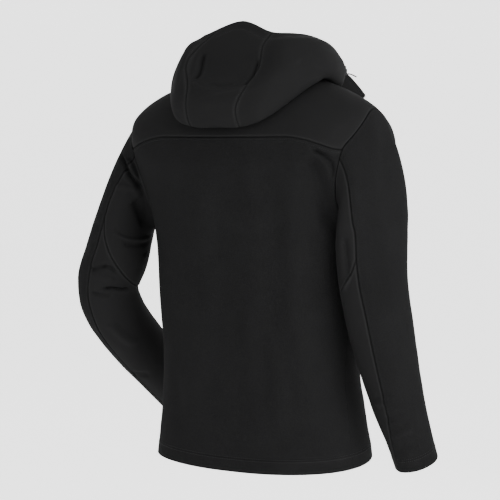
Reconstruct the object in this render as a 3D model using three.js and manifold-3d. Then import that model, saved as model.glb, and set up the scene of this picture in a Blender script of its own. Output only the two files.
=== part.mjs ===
import * as THREE from "three";
import { mergeVertices } from "three/addons/utils/BufferGeometryUtils.js";
import Module from "manifold-3d";

// Hooded softshell jacket in its worn form, zipped to the chest and open above.
// Millimetres, +Z up, front towards -Y, wearer's left towards +X.
// The origin is the middle of the back neck seam.

const wasm = await Module();
wasm.setup();

const knitWall = 2.2;
const shellWall = 1.8;
const bandWall = 3.0; // turned hem and cuffs, two layers
const seamGap = 0.3;
const bandHigh = 25;
const frontGap = 3.4; // from the middle of the zip to each front edge

// The worn body, level by level from the neck seam to the hem.
const bodyRows = [
  { zBack: 0, zSide: 18, zFront: -75, half: 78, back: 65, front: 95, square: 2.1 },
  { zBack: -30, zSide: -2, zFront: -100, half: 135, back: 88, front: 110, square: 2.3 },
  { zBack: -60, zSide: -22, zFront: -125, half: 190, back: 105, front: 120, square: 2.6 },
  { zBack: -94, zSide: -50, zFront: -150, half: 235, back: 117, front: 128, square: 2.8 },
  { zBack: -118, zSide: -78, zFront: -172, half: 243, back: 122, front: 133, square: 3.0 },
  { zBack: -152, zSide: -128, zFront: -198, half: 239, back: 127, front: 142, square: 2.7 },
  { zBack: -212, zSide: -205, zFront: -232, half: 216, back: 125, front: 150, square: 2.4 },
  { zBack: -280, zSide: -280, zFront: -288, half: 200, back: 116, front: 155, square: 2.3 },
  { zBack: -400, zSide: -400, zFront: -400, half: 194, back: 110, front: 155, square: 2.3 },
  { zBack: -510, zSide: -510, zFront: -508, half: 185, back: 107, front: 158, square: 2.3 },
  { zBack: -600, zSide: -597, zFront: -590, half: 192, back: 99, front: 178, square: 2.3 },
  { zBack: -668, zSide: -661, zFront: -648, half: 200, back: 99, front: 192, square: 2.3 },
  { zBack: -694, zSide: -685, zFront: -672, half: 203, back: 99, front: 194, square: 2.3 },
];

// How far the left shoulder hangs below the middle at 235 mm out, and the heights the lean fades over.
const shoulderLean = { drop: 10, out: 235, low: -300, high: -40 };

// How far the front edges stand apart above the slider.
const opening = { high: -80, low: -305, sideways: 98, forward: 30 };

// Armhole on the body surface, from the shoulder top round the back and up the front.
const armhole = [
  { angle: 98, z: -53, ring: 0 },
  { angle: 84, z: -58, ring: 14 },
  { angle: 71, z: -80, ring: 32 },
  { angle: 61.5, z: -103, ring: 53 },
  { angle: 57.5, z: -118, ring: 75 },
  { angle: 57.5, z: -150, ring: 94 },
  { angle: 60, z: -180, ring: 112 },
  { angle: 65, z: -210, ring: 132 },
  { angle: 75, z: -240, ring: 155 },
  { angle: 90, z: -270, ring: 180 },
  { angle: 102, z: -258, ring: 202 },
  { angle: 111, z: -234, ring: 222 },
  { angle: 117, z: -200, ring: 241 },
  { angle: 119, z: -165, ring: 260 },
  { angle: 117, z: -130, ring: 280 },
  { angle: 112.5, z: -93, ring: 305 },
  { angle: 106.5, z: -66, ring: 333 },
];
const backCross = 4; // armhole entry where the back yoke seam meets it
const armpit = 9;
const frontCross = 14;
const sleeveBackSeam = 4.5;
const sleeveFrontSeam = 11.5;

// Sleeve rings below the armhole; tilt lifts the outer side, turn swings the back in behind the body.
const sleeveRings = {
  right: [
    { x: 244, y: 6, z: -258, wide: 38, deep: 74, tilt: 38, turn: 22 },
    { x: 246, y: 6, z: -330, wide: 45, deep: 69, tilt: 12, turn: 20 },
    { x: 253, y: 0, z: -400, wide: 53, deep: 63, tilt: 0, turn: 15 },
    { x: 258, y: -14, z: -460, wide: 53, deep: 58, tilt: 0, turn: 12 },
    { x: 269, y: -45, z: -566, wide: 46, deep: 48, tilt: 0, turn: 8 },
    { x: 277, y: -66, z: -622, wide: 41, deep: 42, tilt: 0, turn: 6 },
    { x: 284, y: -86, z: -678, wide: 38, deep: 39, tilt: 0, turn: 5 },
  ],
  left: [
    { x: 264, y: 26, z: -245, wide: 47, deep: 66, tilt: 42, turn: 0 },
    { x: 283, y: 37, z: -318, wide: 57, deep: 62, tilt: 18, turn: 0 },
    { x: 304, y: 42, z: -384, wide: 55, deep: 57, tilt: 2, turn: 0 },
    { x: 303, y: 11, z: -446, wide: 53, deep: 54, tilt: 0, turn: 0 },
    { x: 295, y: -56, z: -513, wide: 49, deep: 51, tilt: 0, turn: 0 },
    { x: 288, y: -125, z: -575, wide: 44, deep: 45, tilt: 0, turn: 0 },
    { x: 280, y: -185, z: -630, wide: 39, deep: 40, tilt: 0, turn: 0 },
  ],
};
// Ring place where the slanting seam leaves the back seam and meets the front one; a low bend
// lets it run down before it crosses.
const slantSeam = {
  right: { back: 1.75, front: 3.1, bend: 0.7 },
  left: { back: 1.3, front: 2.9, bend: 0.66 },
};
// Degrees by which the rear seam stands out from the armhole's own ring angle at each ring place,
// and the armhole entries to each side that this fades over.
const seamSwing = {
  right: [0, 31, 30, 25, 20, 8, -12, -25],
  left: [0, 0, 0, 0, 0, 0, 0, 0],
  fade: 4.5,
};
// How straight, and how strongly, the sleeve head leaves the armhole at the top.
const sleeveHead = {
  right: { straight: 0.5, push: 0.9 },
  left: { straight: 0.6, push: 0.85 },
};

// Top line of the stand collar by neck angle.
const collarTop = [
  { angle: 0, x: 0, y: 42, z: 60 },
  { angle: 45, x: 52, y: 32, z: 66 },
  { angle: 90, x: 74, y: -8, z: 71 },
  { angle: 120, x: 88, y: -50, z: 53 },
  { angle: 150, x: 108, y: -92, z: 27 },
  { angle: 165, x: 122, y: -120, z: 7 },
  { angle: 180, x: 136, y: -153, z: -29 },
];

// Hood lines out to the rim, each with six places from the centre back to the front end. The
// first line of the hood is its seam, laid on the yoke beside the collar at these neck angles.
const hoodSeam = { angles: [0, 24, 52, 84, 108, 133], level: 0.14, clear: 3.1 };
const hoodLines = {
  under: [[0, 101, -38], [45, 99, -37], [86, 88, -26], [124, 28, 8], [126, -46, -2], [115, -88, -18]],
  bottom: [[0, 125, -77], [52, 123, -76], [98, 111, -58], [150, 32, -1], [142, -50, -8], [121, -92, -15]],
  pouch: [[0, 141, -45], [54, 138, -42], [102, 122, -34], [158, 30, 14], [149, -52, 12], [125, -94, -3]],
  ridge: [[0, 135, -14], [56, 130, -10], [106, 104, 8], [152, 25, 36], [147, -52, 30], [126, -95, 3]],
  dimple: [[0, 88, 18], [57, 84, 22], [108, 78, 40], [140, 18, 56], [139, -50, 44], [126, -95, 9]],
  upper: [[0, 62, 68], [65, 62, 62], [102, 54, 70], [126, 4, 72], [131, -48, 55], [125, -94, 14]],
  rim: [[0, 30, 109], [67, 38, 88], [93, 12, 84], [106, -22, 77], [119, -54, 59], [122, -92, 20]],
};
// The rim sags towards the wearer's left.
const hoodLean = 14;
// Place of the two panel seams on each line, neck first.
const panelSeam = {
  left: [1, 1.05, 1.14, 1.16, 1.17, 1.67, 1.28, 0.6],
  right: [1, 0.95, 0.85, 0.81, 1.02, 1.1, 0.94, 1.08],
};

const clamp = (x, low, high) => Math.min(high, Math.max(low, x));
const mix = (a, b, t) => a + (b - a) * t;
const rad = Math.PI / 180;

function ramp(x, from, to) {
  const t = clamp((x - from) / (to - from), 0, 1);
  return t * t * (3 - 2 * t);
}

// Smooth curve through a list of numbers, one per whole t.
function through(list, t) {
  const last = list.length - 1;
  const i = clamp(Math.floor(t), 0, last - 1);
  const f = t - i;
  const b = list[i];
  const c = list[i + 1];
  const a = i > 0 ? list[i - 1] : 2 * b - c;
  const d = i < last - 1 ? list[i + 2] : 2 * c - b;
  return b + 0.5 * f * (c - a + f * (2 * a - 5 * b + 4 * c - d + f * (3 * (b - c) + d - a)));
}

const column = (rows, key) => rows.map((row) => row[key]);
const bodyColumn = {};
for (const key of Object.keys(bodyRows[0])) bodyColumn[key] = column(bodyRows, key);
const hemRow = bodyRows.length - 1;

function leanAt(x, z) {
  return ((shoulderLean.drop * x) / shoulderLean.out) * ramp(z, shoulderLean.low, shoulderLean.high);
}

// Point of the body surface at an angle from the centre back and a level of the table.
function bodyPoint(angle, level, leaning = 1) {
  const s = Math.sin(angle * rad);
  const c = Math.cos(angle * rad);
  const n = through(bodyColumn.square, level);
  const r = Math.pow(Math.pow(Math.abs(s), n) + Math.pow(Math.abs(c), n), -1 / n);
  const ends = c >= 0 ? "back" : "front";
  const side = through(bodyColumn.zSide, level);
  const end = through(c >= 0 ? bodyColumn.zBack : bodyColumn.zFront, level);
  const z = side + (end - side) * r * r * c * c;
  const x = through(bodyColumn.half, level) * r * s;
  const y = through(bodyColumn[ends], level) * r * c;
  const apart = Math.pow(ramp(Math.abs(angle), 95, 180), 1.5) * ramp(z, opening.low, opening.high);
  const sign = Math.sign(angle) || 1;
  const out = x + sign * opening.sideways * apart;
  return new THREE.Vector3(out, y - opening.forward * apart, z - leaning * leanAt(out, z));
}

function levelAt(angle, z) {
  let low = 0;
  let high = hemRow;
  for (let i = 0; i < 30; i++) {
    const middle = (low + high) / 2;
    if (bodyPoint(angle, middle, 0).z > z) low = middle;
    else high = middle;
  }
  return (low + high) / 2;
}

// Armhole entry at any place round the loop.
function armholeAt(index) {
  const n = armhole.length;
  const k = ((index % n) + n) % n;
  const i = Math.floor(k) + 1;
  const around = (key) => [-1, 0, 1, 2].map((d) => armhole[(i - 1 + d + n) % n][key]);
  const rings = around("ring").map((a, j, all) => {
    const base = all[1];
    let value = a;
    while (value - base > 180) value -= 360;
    while (value - base < -180) value += 360;
    return value;
  });
  const t = 1 + (k - Math.floor(k));
  const angle = through(around("angle"), t);
  const z = through(around("z"), t);
  return { angle, z, ring: through(rings, t), level: levelAt(angle, z) };
}

const crossBack = armholeAt(backCross);
const crossFront = armholeAt(frontCross);
const backStep = (share) => ramp(share, 0.5, 1);

// Level of the back yoke seam: flat across the back, falling to the armhole.
function yokeSeamLevel(angle) {
  const share = Math.abs(angle) / crossBack.angle;
  return levelAt(Math.abs(angle), mix(-94, crossBack.z, backStep(share)));
}

const edgeAngle = (level) => 180 - Math.asin(frontGap / through(bodyColumn.half, level)) / rad;

// Sheets are grids of points; rows and columns run so that their normals face out.
const sheets = [];

function addSheet(name, grid, wall, colour, band) {
  sheets.push({ name, grid, wall, colour, band: band || (() => 0) });
}

const backCount = 9;
const armCount = 2 * (armhole.length - frontCross + backCross);
const frontCount = 6;

// Yoke columns on the wearer's left, from the centre back to the front edge.
function yokeColumns() {
  const list = [];
  for (let j = 0; j <= backCount; j++) {
    const angle = (crossBack.angle * j) / backCount;
    list.push({ angle, level: yokeSeamLevel(angle) });
  }
  for (let j = 1; j <= armCount; j++) {
    const spot = armholeAt(backCross - j / 2);
    list.push({ angle: spot.angle, level: spot.level });
  }
  const topLevel = levelAt(180, -140);
  for (let j = 1; j <= frontCount; j++) {
    const share = j / frontCount;
    const angle = mix(crossFront.angle, edgeAngle(topLevel), share);
    list.push({ angle, level: levelAt(angle, mix(crossFront.z, -140, share)) });
  }
  return list;
}
const half = yokeColumns();
const wholeYoke = [
  ...half.slice(1).reverse().map((c) => ({ angle: -c.angle, level: c.level })),
  ...half,
];

const yokeRows = 6;
const yokeGrid = [];
for (let i = 0; i <= yokeRows; i++) {
  yokeGrid.push(wholeYoke.map((c) => {
    const level = (c.level * i) / yokeRows;
    const angle = Math.abs(c.angle) > crossFront.angle
      ? Math.sign(c.angle) * mix(crossFront.angle, edgeAngle(level),
        (Math.abs(c.angle) - crossFront.angle) / (Math.abs(half.at(-1).angle) - crossFront.angle))
      : c.angle;
    return bodyPoint(angle, level);
  }));
}
addSheet("yoke", yokeGrid, shellWall, "shell");

// Rows that the back and front panels share down the side.
const sideRows = 11;
const bandLevel = levelAt(90, bodyPoint(90, hemRow).z + bandHigh);
const armpitSpot = armholeAt(armpit);
function sideEdge(fromIndex) {
  const rows = [];
  const step = fromIndex < armpit ? 1 : -1;
  const count = Math.abs(armpit - fromIndex) * 2;
  for (let i = 0; i <= count; i++) {
    const spot = armholeAt(fromIndex + (step * i) / 2);
    rows.push({ angle: spot.angle, level: spot.level, share: i / count, below: 0 });
  }
  for (let i = 1; i <= sideRows; i++) {
    const level = mix(armpitSpot.level, bandLevel, i / sideRows);
    rows.push({ angle: 90, level, share: 1, below: i / sideRows });
  }
  rows.push({ angle: 90, level: hemRow, share: 1, below: 2 });
  return rows;
}

function panelGrid(rows, columns, topSpots, middleTop, middlePit, edges) {
  return rows.map((row, i) => {
    if (i === 0) return topSpots.map((spot) => bodyPoint(spot.angle, spot.level));
    const middle = row.below === 2 ? hemRow
      : row.below > 0 ? mix(middlePit, bandLevel, row.below)
        : mix(middleTop, middlePit, row.share);
    return columns.map((share, j) => {
      const s = Math.abs(share);
      const angle = edges(share, row);
      let level = mix(middle, row.level, backStep(s));
      const bend = topSpots[j].level - mix(middleTop, rows[0].level, backStep(s));
      level += bend * Math.pow(1 - clamp(i / 7, 0, 1), 2);
      return bodyPoint(angle, Math.min(level, hemRow));
    });
  });
}

const backRows = sideEdge(backCross);
const backColumns = [];
for (let j = -backCount; j <= backCount; j++) backColumns.push(j / backCount);
addSheet(
  "back_panel",
  panelGrid(backRows, backColumns, wholeYoke.filter((c) => Math.abs(c.angle) <= crossBack.angle),
    yokeSeamLevel(0), levelAt(0, -250), (share, row) => share * row.angle),
  knitWall, "knit", (i) => (i >= backRows.length - 2 ? 1 : 0),
);

const frontRows = sideEdge(frontCross);
const frontColumns = [];
for (let j = 0; j <= frontCount; j++) frontColumns.push(1 - j / frontCount);
const frontTop = half.at(-1);
const frontSpots = half.slice(backCount + armCount);
const frontGrids = {};
for (const [name, sign] of [["front_left", 1], ["front_right", -1]]) {
  const order = sign > 0 ? frontColumns : [...frontColumns].reverse();
  frontGrids[sign] = panelGrid(frontRows, order,
    sign > 0 ? frontSpots : [...frontSpots].reverse().map((c) => ({ ...c, angle: -c.angle })),
    frontTop.level, levelAt(180, -262), (share, row) => {
      const middle = edgeAngle(Math.max(row.level, frontTop.level));
      return sign * mix(middle, row.angle, share);
    });
  addSheet(name, frontGrids[sign], knitWall, "knit",
    (i) => (i >= frontRows.length - 2 ? 1 : 0));
}

// Collar on the neck seam.
const collarRows = 4;
const collarGrid = [];
const collarAngles = column(collarTop, "angle");
function collarEdge(angle) {
  const a = Math.abs(angle);
  let i = 0;
  while (i < collarAngles.length - 2 && collarAngles[i + 1] < a) i++;
  const t = i + (a - collarAngles[i]) / (collarAngles[i + 1] - collarAngles[i]);
  const at = (key) => through(column(collarTop, key), t);
  return new THREE.Vector3(at("x") * (Math.sign(angle) || 1), at("y"), at("z"));
}
for (let i = 0; i <= collarRows; i++) {
  const t = 1 - i / collarRows;
  collarGrid.push(yokeGrid[0].map((base, j) => {
    const whole = wholeYoke[j];
    const top = collarEdge(whole.angle);
    const p = base.clone().lerp(top, t);
    const out = new THREE.Vector3(base.x, base.y, 0).normalize();
    return p.addScaledVector(out, 4 * Math.sin(Math.PI * t) * 0.5);
  }));
}
addSheet("collar", collarGrid, shellWall, "shell");

// Sleeves.
function ringFrame(rings, sign, t) {
  const at = (key, u) => through(column(rings, key), u);
  const centre = (u) => new THREE.Vector3(sign * at("x", u), at("y", u), at("z", u));
  const tangent = centre(t + 0.35).sub(centre(t - 0.35)).normalize();
  const lateral = new THREE.Vector3(sign, 0, 0);
  lateral.addScaledVector(tangent, -lateral.dot(tangent)).normalize();
  const rear = new THREE.Vector3().crossVectors(tangent, lateral).normalize();
  if (rear.y < 0) rear.negate();
  const turn = at("turn", t) * rad;
  const outward = lateral.clone().multiplyScalar(Math.cos(turn)).addScaledVector(rear, Math.sin(turn));
  rear.multiplyScalar(Math.cos(turn)).addScaledVector(lateral, -Math.sin(turn));
  return { centre: centre(t), tangent, lateral: outward, rear, wide: at("wide", t), deep: at("deep", t),
    tilt: at("tilt", t) };
}

function ringPoint(rings, sign, t, ringAngle) {
  const f = ringFrame(rings, sign, t);
  const c = Math.cos(ringAngle * rad);
  const s = Math.sin(ringAngle * rad);
  return f.centre.clone()
    .addScaledVector(f.lateral, f.wide * c)
    .addScaledVector(f.rear, f.deep * s)
    .addScaledVector(f.tangent, -f.tilt * c);
}

function seamSwingAt(sideName, index, place) {
  const n = armhole.length;
  const from = (((index - sleeveBackSeam + n / 2) % n) + n) % n;
  const share = Math.min(1, Math.abs(from - n / 2) / seamSwing.fade);
  return through(seamSwing[sideName], place) * Math.pow(Math.cos((Math.PI / 2) * share), 2);
}

function sleevePoint(sideName, sign, index, place) {
  const rings = sleeveRings[sideName];
  const spot = armholeAt(index);
  const ringAngle = spot.ring - seamSwingAt(sideName, index, Math.max(1, place));
  if (place >= 1) return ringPoint(rings, sign, place - 1, ringAngle);
  const start = bodyPoint(sign * spot.angle, spot.level);
  const end = ringPoint(rings, sign, 0, ringAngle);
  const reach = end.distanceTo(start);
  const head = sleeveHead[sideName];
  const up = Math.cos(ringAngle * rad);
  const under = ramp(-up, 0, 1);
  const out = new THREE.Vector3(sign, 0, mix(-0.45, 0.3, under)).normalize();
  const direct = end.clone().sub(start).normalize();
  const leave = out.lerp(direct, mix(head.straight, 0.1, under)).normalize()
    .multiplyScalar(reach * mix(head.push, 1.0, under));
  const arrive = ringPoint(rings, sign, 0.02, ringAngle).sub(end).normalize()
    .multiplyScalar(reach * 0.9);
  const t = place;
  const t2 = t * t;
  const t3 = t2 * t;
  return start.clone().multiplyScalar(2 * t3 - 3 * t2 + 1)
    .addScaledVector(leave, t3 - 2 * t2 + t)
    .addScaledVector(end, -2 * t3 + 3 * t2)
    .addScaledVector(arrive, t3 - t2);
}

const upperRows = 7;
const lowerRows = 10;
const lastPlace = 7;
const cuffPlace = 6.45;

function placeOf(slant, i) {
  if (i <= upperRows) return (slant * i) / upperRows;
  if (i >= upperRows + lowerRows) return lastPlace;
  return mix(slant, cuffPlace, (i - upperRows) / (lowerRows - 1));
}

function slantAt(sideName, index) {
  const { back, front, bend } = slantSeam[sideName];
  const n = armhole.length;
  const across = sleeveFrontSeam - sleeveBackSeam;
  const from = ((index - sleeveBackSeam) % n + n) % n;
  if (from <= across) return mix(back, front, Math.pow(from / across, bend));
  return mix(front, back, Math.pow((from - across) / (n - across), 1 / bend));
}

function sleeveGrid(sideName, sign, fromIndex, toIndex, fromRow, toRow) {
  const grid = [];
  const count = Math.round((toIndex - fromIndex) * 2);
  for (let i = fromRow; i <= toRow; i++) {
    const row = [];
    for (let j = 0; j <= count; j++) {
      const index = fromIndex + j / 2;
      row.push(sleevePoint(sideName, sign, index, placeOf(slantAt(sideName, index), i)));
    }
    grid.push(sign > 0 ? row.reverse() : row);
  }
  return grid;
}

const allRows = upperRows + lowerRows;
const aroundTop = sleeveBackSeam + armhole.length;
for (const [sideName, sign] of [["left", 1], ["right", -1]]) {
  addSheet("sleeve_top_" + sideName,
    sleeveGrid(sideName, sign, sleeveFrontSeam, aroundTop, 0, allRows),
    knitWall, "knit", (i) => (i >= allRows - 1 ? 1 : 0));
  addSheet("sleeve_under_" + sideName,
    sleeveGrid(sideName, sign, sleeveBackSeam, sleeveFrontSeam, 0, upperRows),
    shellWall, "shell");
  addSheet("sleeve_forearm_" + sideName,
    sleeveGrid(sideName, sign, sleeveBackSeam, sleeveFrontSeam, upperRows, allRows),
    shellWall, "shell", (i) => (i >= lowerRows - 1 ? 1 : 0));
}

// Hood.
hoodLines.neck = hoodSeam.angles.map((angle) => {
  const at = (a, level) => bodyPoint(a, level, 0);
  const place = at(angle, hoodSeam.level);
  const across = at(angle + 1, hoodSeam.level).sub(place);
  const down = at(angle, hoodSeam.level + 0.05).sub(place);
  const out = new THREE.Vector3().crossVectors(across, down).normalize();
  return place.addScaledVector(out, hoodSeam.clear).toArray();
});
const hoodNames = ["neck", "under", "bottom", "pouch", "ridge", "dimple", "upper", "rim"];
function hoodPoint(place, line) {
  const q = Math.abs(place);
  const sign = Math.sign(place) || 1;
  const atLine = (name) => [0, 1, 2].map((axis) => {
    const values = hoodLines[name].map((p) => p[axis]);
    const mirrored = axis === 0 ? -values[1] : values[1];
    return through([mirrored, ...values], q + 1);
  });
  const points = hoodNames.map(atLine);
  const [x, y, z] = [0, 1, 2].map((axis) => through(points.map((p) => p[axis]), line));
  const lean = hoodLean * ramp(line, 3.5, 7) * (1 - ramp(q, 1, 4));
  const across = sign * x + lean;
  return new THREE.Vector3(across, y, z - leanAt(across, z));
}

const leftSeam = (line) => through(panelSeam.left, line);
const rightSeam = (line) => -through(panelSeam.right, line);

// Panel between two edges; each gives its place for a line.
function hoodGrid(from, to, columns) {
  const grid = [];
  const rows = 16;
  const last = hoodNames.length - 1;
  for (let i = 0; i <= rows; i++) {
    const line = i < rows - 1 ? (i * (last - 0.45)) / (rows - 1) : last - (i === rows ? 0 : 0.45);
    const row = [];
    for (let j = 0; j <= columns; j++) {
      row.push(hoodPoint(mix(from(line), to(line), j / columns), line));
    }
    grid.push(row.reverse());
  }
  return grid;
}
const hoodBand = (i) => (i >= 15 ? 1 : 0);
addSheet("hood_centre", hoodGrid(rightSeam, leftSeam, 10), shellWall, "shell", hoodBand);
addSheet("hood_left", hoodGrid(leftSeam, () => 5, 13), shellWall, "shell", hoodBand);
addSheet("hood_right", hoodGrid(() => -5, rightSeam, 13), shellWall, "shell", hoodBand);

// Front zip. Each tape lies behind its front edge, from the collar corner to the hem.
const tapeWall = 0.7;
const tapeBehind = bandWall / 2 + 0.35 + tapeWall / 2;
const toothStrip = { from: 0.8, to: 3.1, wall: 2.2 };
const sliderHigh = -302;

// Frames down one front edge: place, direction to the middle and outward normal.
function edgeFrames(sign) {
  const frames = [];
  const walk = (grid, first, last) => {
    const j = sign > 0 ? grid[0].length - 1 : 0;
    for (let i = first; i <= last; i++) {
      const place = grid[i][j].clone();
      const toward = place.clone().sub(grid[i][j - sign]).normalize();
      const next = Math.min(i + 1, grid.length - 1);
      const down = grid[next][j].clone().sub(grid[next - 1][j]).normalize();
      const out = new THREE.Vector3().crossVectors(toward, down).multiplyScalar(sign).normalize();
      frames.push({ place, toward, down, out });
    }
  };
  walk(collarGrid, 0, collarRows - 1);
  walk(yokeGrid, 0, yokeRows - 1);
  walk(frontGrids[sign], 0, frontGrids[sign].length - 1);
  frames.at(-1).place.addScaledVector(frames.at(-1).down, -4);
  // Mitred between neighbours, so strips laid along the edge keep their distance.
  const outs = frames.map((f) => f.out.clone());
  const towards = frames.map((f) => f.toward.clone());
  frames.forEach((f, i) => {
    if (i === 0) return;
    f.out = outs[i - 1].clone().add(outs[i]).normalize();
    f.out.divideScalar(Math.max(0.7, f.out.dot(outs[i])));
    f.toward = towards[i - 1].clone().add(towards[i]).normalize();
  });
  return frames;
}

// The frames cut off at a height, keeping those above it or below it.
function cutFrames(frames, z, above) {
  const i = frames.findIndex((f) => f.place.z < z);
  const t = (frames[i - 1].place.z - z) / (frames[i - 1].place.z - frames[i].place.z);
  const blend = (key) => frames[i - 1][key].clone().lerp(frames[i][key], t);
  const cut = { place: blend("place"), toward: blend("toward"), down: blend("down"), out: blend("out") };
  return above ? [...frames.slice(0, i), cut] : [cut, ...frames.slice(i)];
}

function stripGrid(frames, sign, offsets, out) {
  return frames.map((f) => {
    const row = offsets.map((d) => f.place.clone()
      .addScaledVector(f.toward, d).addScaledVector(f.out, out));
    return sign > 0 ? row : row.reverse();
  });
}

for (const [sideName, sign] of [["left", 1], ["right", -1]]) {
  const frames = edgeFrames(sign);
  addSheet("zip_tape_" + sideName,
    stripGrid(frames, sign, [-5.5, 3.05], -tapeBehind), tapeWall, "tape");
  addSheet("zip_teeth_" + sideName,
    stripGrid(cutFrames(frames, sliderHigh + 11, true), sign, [toothStrip.from, toothStrip.to], 0),
    toothStrip.wall, "teeth");
}
const chainFrames = cutFrames(edgeFrames(1), sliderHigh - 11, false);
addSheet("zip_chain", chainFrames.map((f) => [2.6, -2.6].map((x) =>
  new THREE.Vector3(x, f.place.y, f.place.z))), 2.2, "teeth");

// Turning the sheets into walls: panels that share a seam also share a mitre there.
const keyOf = (p) => [p.x, p.y, p.z].map((v) => Math.round(v * 8 + 0.37)).join(",");

function gridNormals(grid) {
  const rows = grid.length - 1;
  const columns = grid[0].length - 1;
  return grid.map((row, i) => row.map((p, j) => {
    const across = grid[i][Math.min(columns, j + 1)].clone().sub(grid[i][Math.max(0, j - 1)]);
    const down = grid[Math.min(rows, i + 1)][j].clone().sub(grid[Math.max(0, i - 1)][j]);
    return new THREE.Vector3().crossVectors(across, down).normalize();
  }));
}

const seamNormals = new Map();
for (const sheet of sheets) {
  sheet.normals = gridNormals(sheet.grid);
  sheet.grid.forEach((row, i) => row.forEach((p, j) => {
    const edge = i === 0 || j === 0 || i === sheet.grid.length - 1 || j === row.length - 1;
    if (!edge) return;
    const key = keyOf(p);
    if (!seamNormals.has(key)) seamNormals.set(key, []);
    const list = seamNormals.get(key);
    if (!list.some((n) => n.dot(sheet.normals[i][j]) > 0.93)) list.push(sheet.normals[i][j]);
  }));
}

function wallGeometry(sheet) {
  const { grid, normals } = sheet;
  const rows = grid.length - 1;
  const columns = grid[0].length - 1;
  const outer = [];
  const inner = [];
  for (let i = 0; i <= rows; i++) {
    for (let j = 0; j <= columns; j++) {
      const p = grid[i][j].clone();
      const own = normals[i][j];
      let normal = own;
      let stretch = 1;
      const onEdge = i === 0 || j === 0 || i === rows || j === columns;
      if (onEdge) {
        normal = new THREE.Vector3();
        for (const n of seamNormals.get(keyOf(p))) normal.add(n);
        normal.normalize();
        stretch = 1 / Math.max(0.6, normal.dot(own));
        const move = new THREE.Vector3();
        const inward = (to, a, b) => {
          const line = b.clone().sub(a).normalize();
          const step = new THREE.Vector3().crossVectors(line, normal).normalize();
          if (step.dot(to.clone().sub(grid[i][j])) < 0) step.negate();
          move.add(step);
        };
        const left = grid[i][Math.max(0, j - 1)];
        const right = grid[i][Math.min(columns, j + 1)];
        const above = grid[Math.max(0, i - 1)][j];
        const below = grid[Math.min(rows, i + 1)][j];
        if (i === 0) inward(below, left, right);
        if (i === rows) inward(above, left, right);
        if (j === 0) inward(right, above, below);
        if (j === columns) inward(left, above, below);
        p.addScaledVector(move, seamGap / 2);
      }
      const wall = sheet.wall + (bandWall - knitWall) * sheet.band(i, j);
      outer.push(p.clone().addScaledVector(normal, (wall / 2) * stretch));
      inner.push(p.clone().addScaledVector(normal, (-wall / 2) * stretch));
    }
  }
  const width = columns + 1;
  const count = outer.length;
  const faces = [];
  const quad = (a, b, c, d) => faces.push(a, c, b, a, d, c);
  const at = (i, j) => i * width + j;
  for (let i = 0; i < rows; i++) {
    for (let j = 0; j < columns; j++) {
      quad(at(i, j), at(i + 1, j), at(i + 1, j + 1), at(i, j + 1));
      quad(count + at(i, j), count + at(i, j + 1), count + at(i + 1, j + 1), count + at(i + 1, j));
    }
  }
  // The rim is split the same way on both sides of a seam.
  const rankOf = (k) => {
    const p = grid[Math.floor(k / width)][k % width];
    return p.x + 1.3 * p.y + 1.7 * p.z;
  };
  const rim = (a, b) => {
    if (rankOf(a) < rankOf(b)) quad(a, b, count + b, count + a);
    else quad(b, count + b, count + a, a);
  };
  for (let j = 0; j < columns; j++) {
    rim(at(0, j), at(0, j + 1));
    rim(at(rows, j + 1), at(rows, j));
  }
  for (let i = 0; i < rows; i++) {
    rim(at(i + 1, 0), at(i, 0));
    rim(at(i, columns), at(i + 1, columns));
  }
  const points = [...outer, ...inner].flatMap((v) => [v.x, v.y, v.z]);
  const geometry = new THREE.BufferGeometry();
  geometry.setAttribute("position", new THREE.Float32BufferAttribute(points, 3));
  geometry.setIndex(faces);
  geometry.computeVertexNormals();
  return geometry;
}

// Solid pieces drawn flat and given a depth.
function plate(points, depth, holes = []) {
  const shape = new THREE.Shape(points.map(([x, y]) => new THREE.Vector2(x, y)));
  for (const hole of holes) {
    shape.holes.push(new THREE.Path(hole.map(([x, y]) => new THREE.Vector2(x, y))));
  }
  return new THREE.ExtrudeGeometry(shape, { depth, bevelEnabled: false });
}

function solidOf(geometry) {
  const flat = geometry.index ? geometry.toNonIndexed() : geometry;
  const loose = new THREE.BufferGeometry();
  loose.setAttribute("position", flat.getAttribute("position"));
  const merged = mergeVertices(loose, 1e-4);
  return new wasm.Manifold(new wasm.Mesh({
    numProp: 3,
    vertProperties: merged.attributes.position.array,
    triVerts: new Uint32Array(merged.index.array),
  }));
}

function geometryOf(solid) {
  const made = solid.getMesh();
  const geometry = new THREE.BufferGeometry();
  geometry.setAttribute("position", new THREE.Float32BufferAttribute(made.vertProperties, 3));
  geometry.setIndex(Array.from(made.triVerts));
  return geometry;
}

const box = (x0, x1, y0, y1, z0, z1) =>
  new THREE.BoxGeometry(x1 - x0, y1 - y0, z1 - z0)
    .translate((x0 + x1) / 2, (y0 + y1) / 2, (z0 + z1) / 2);

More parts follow.
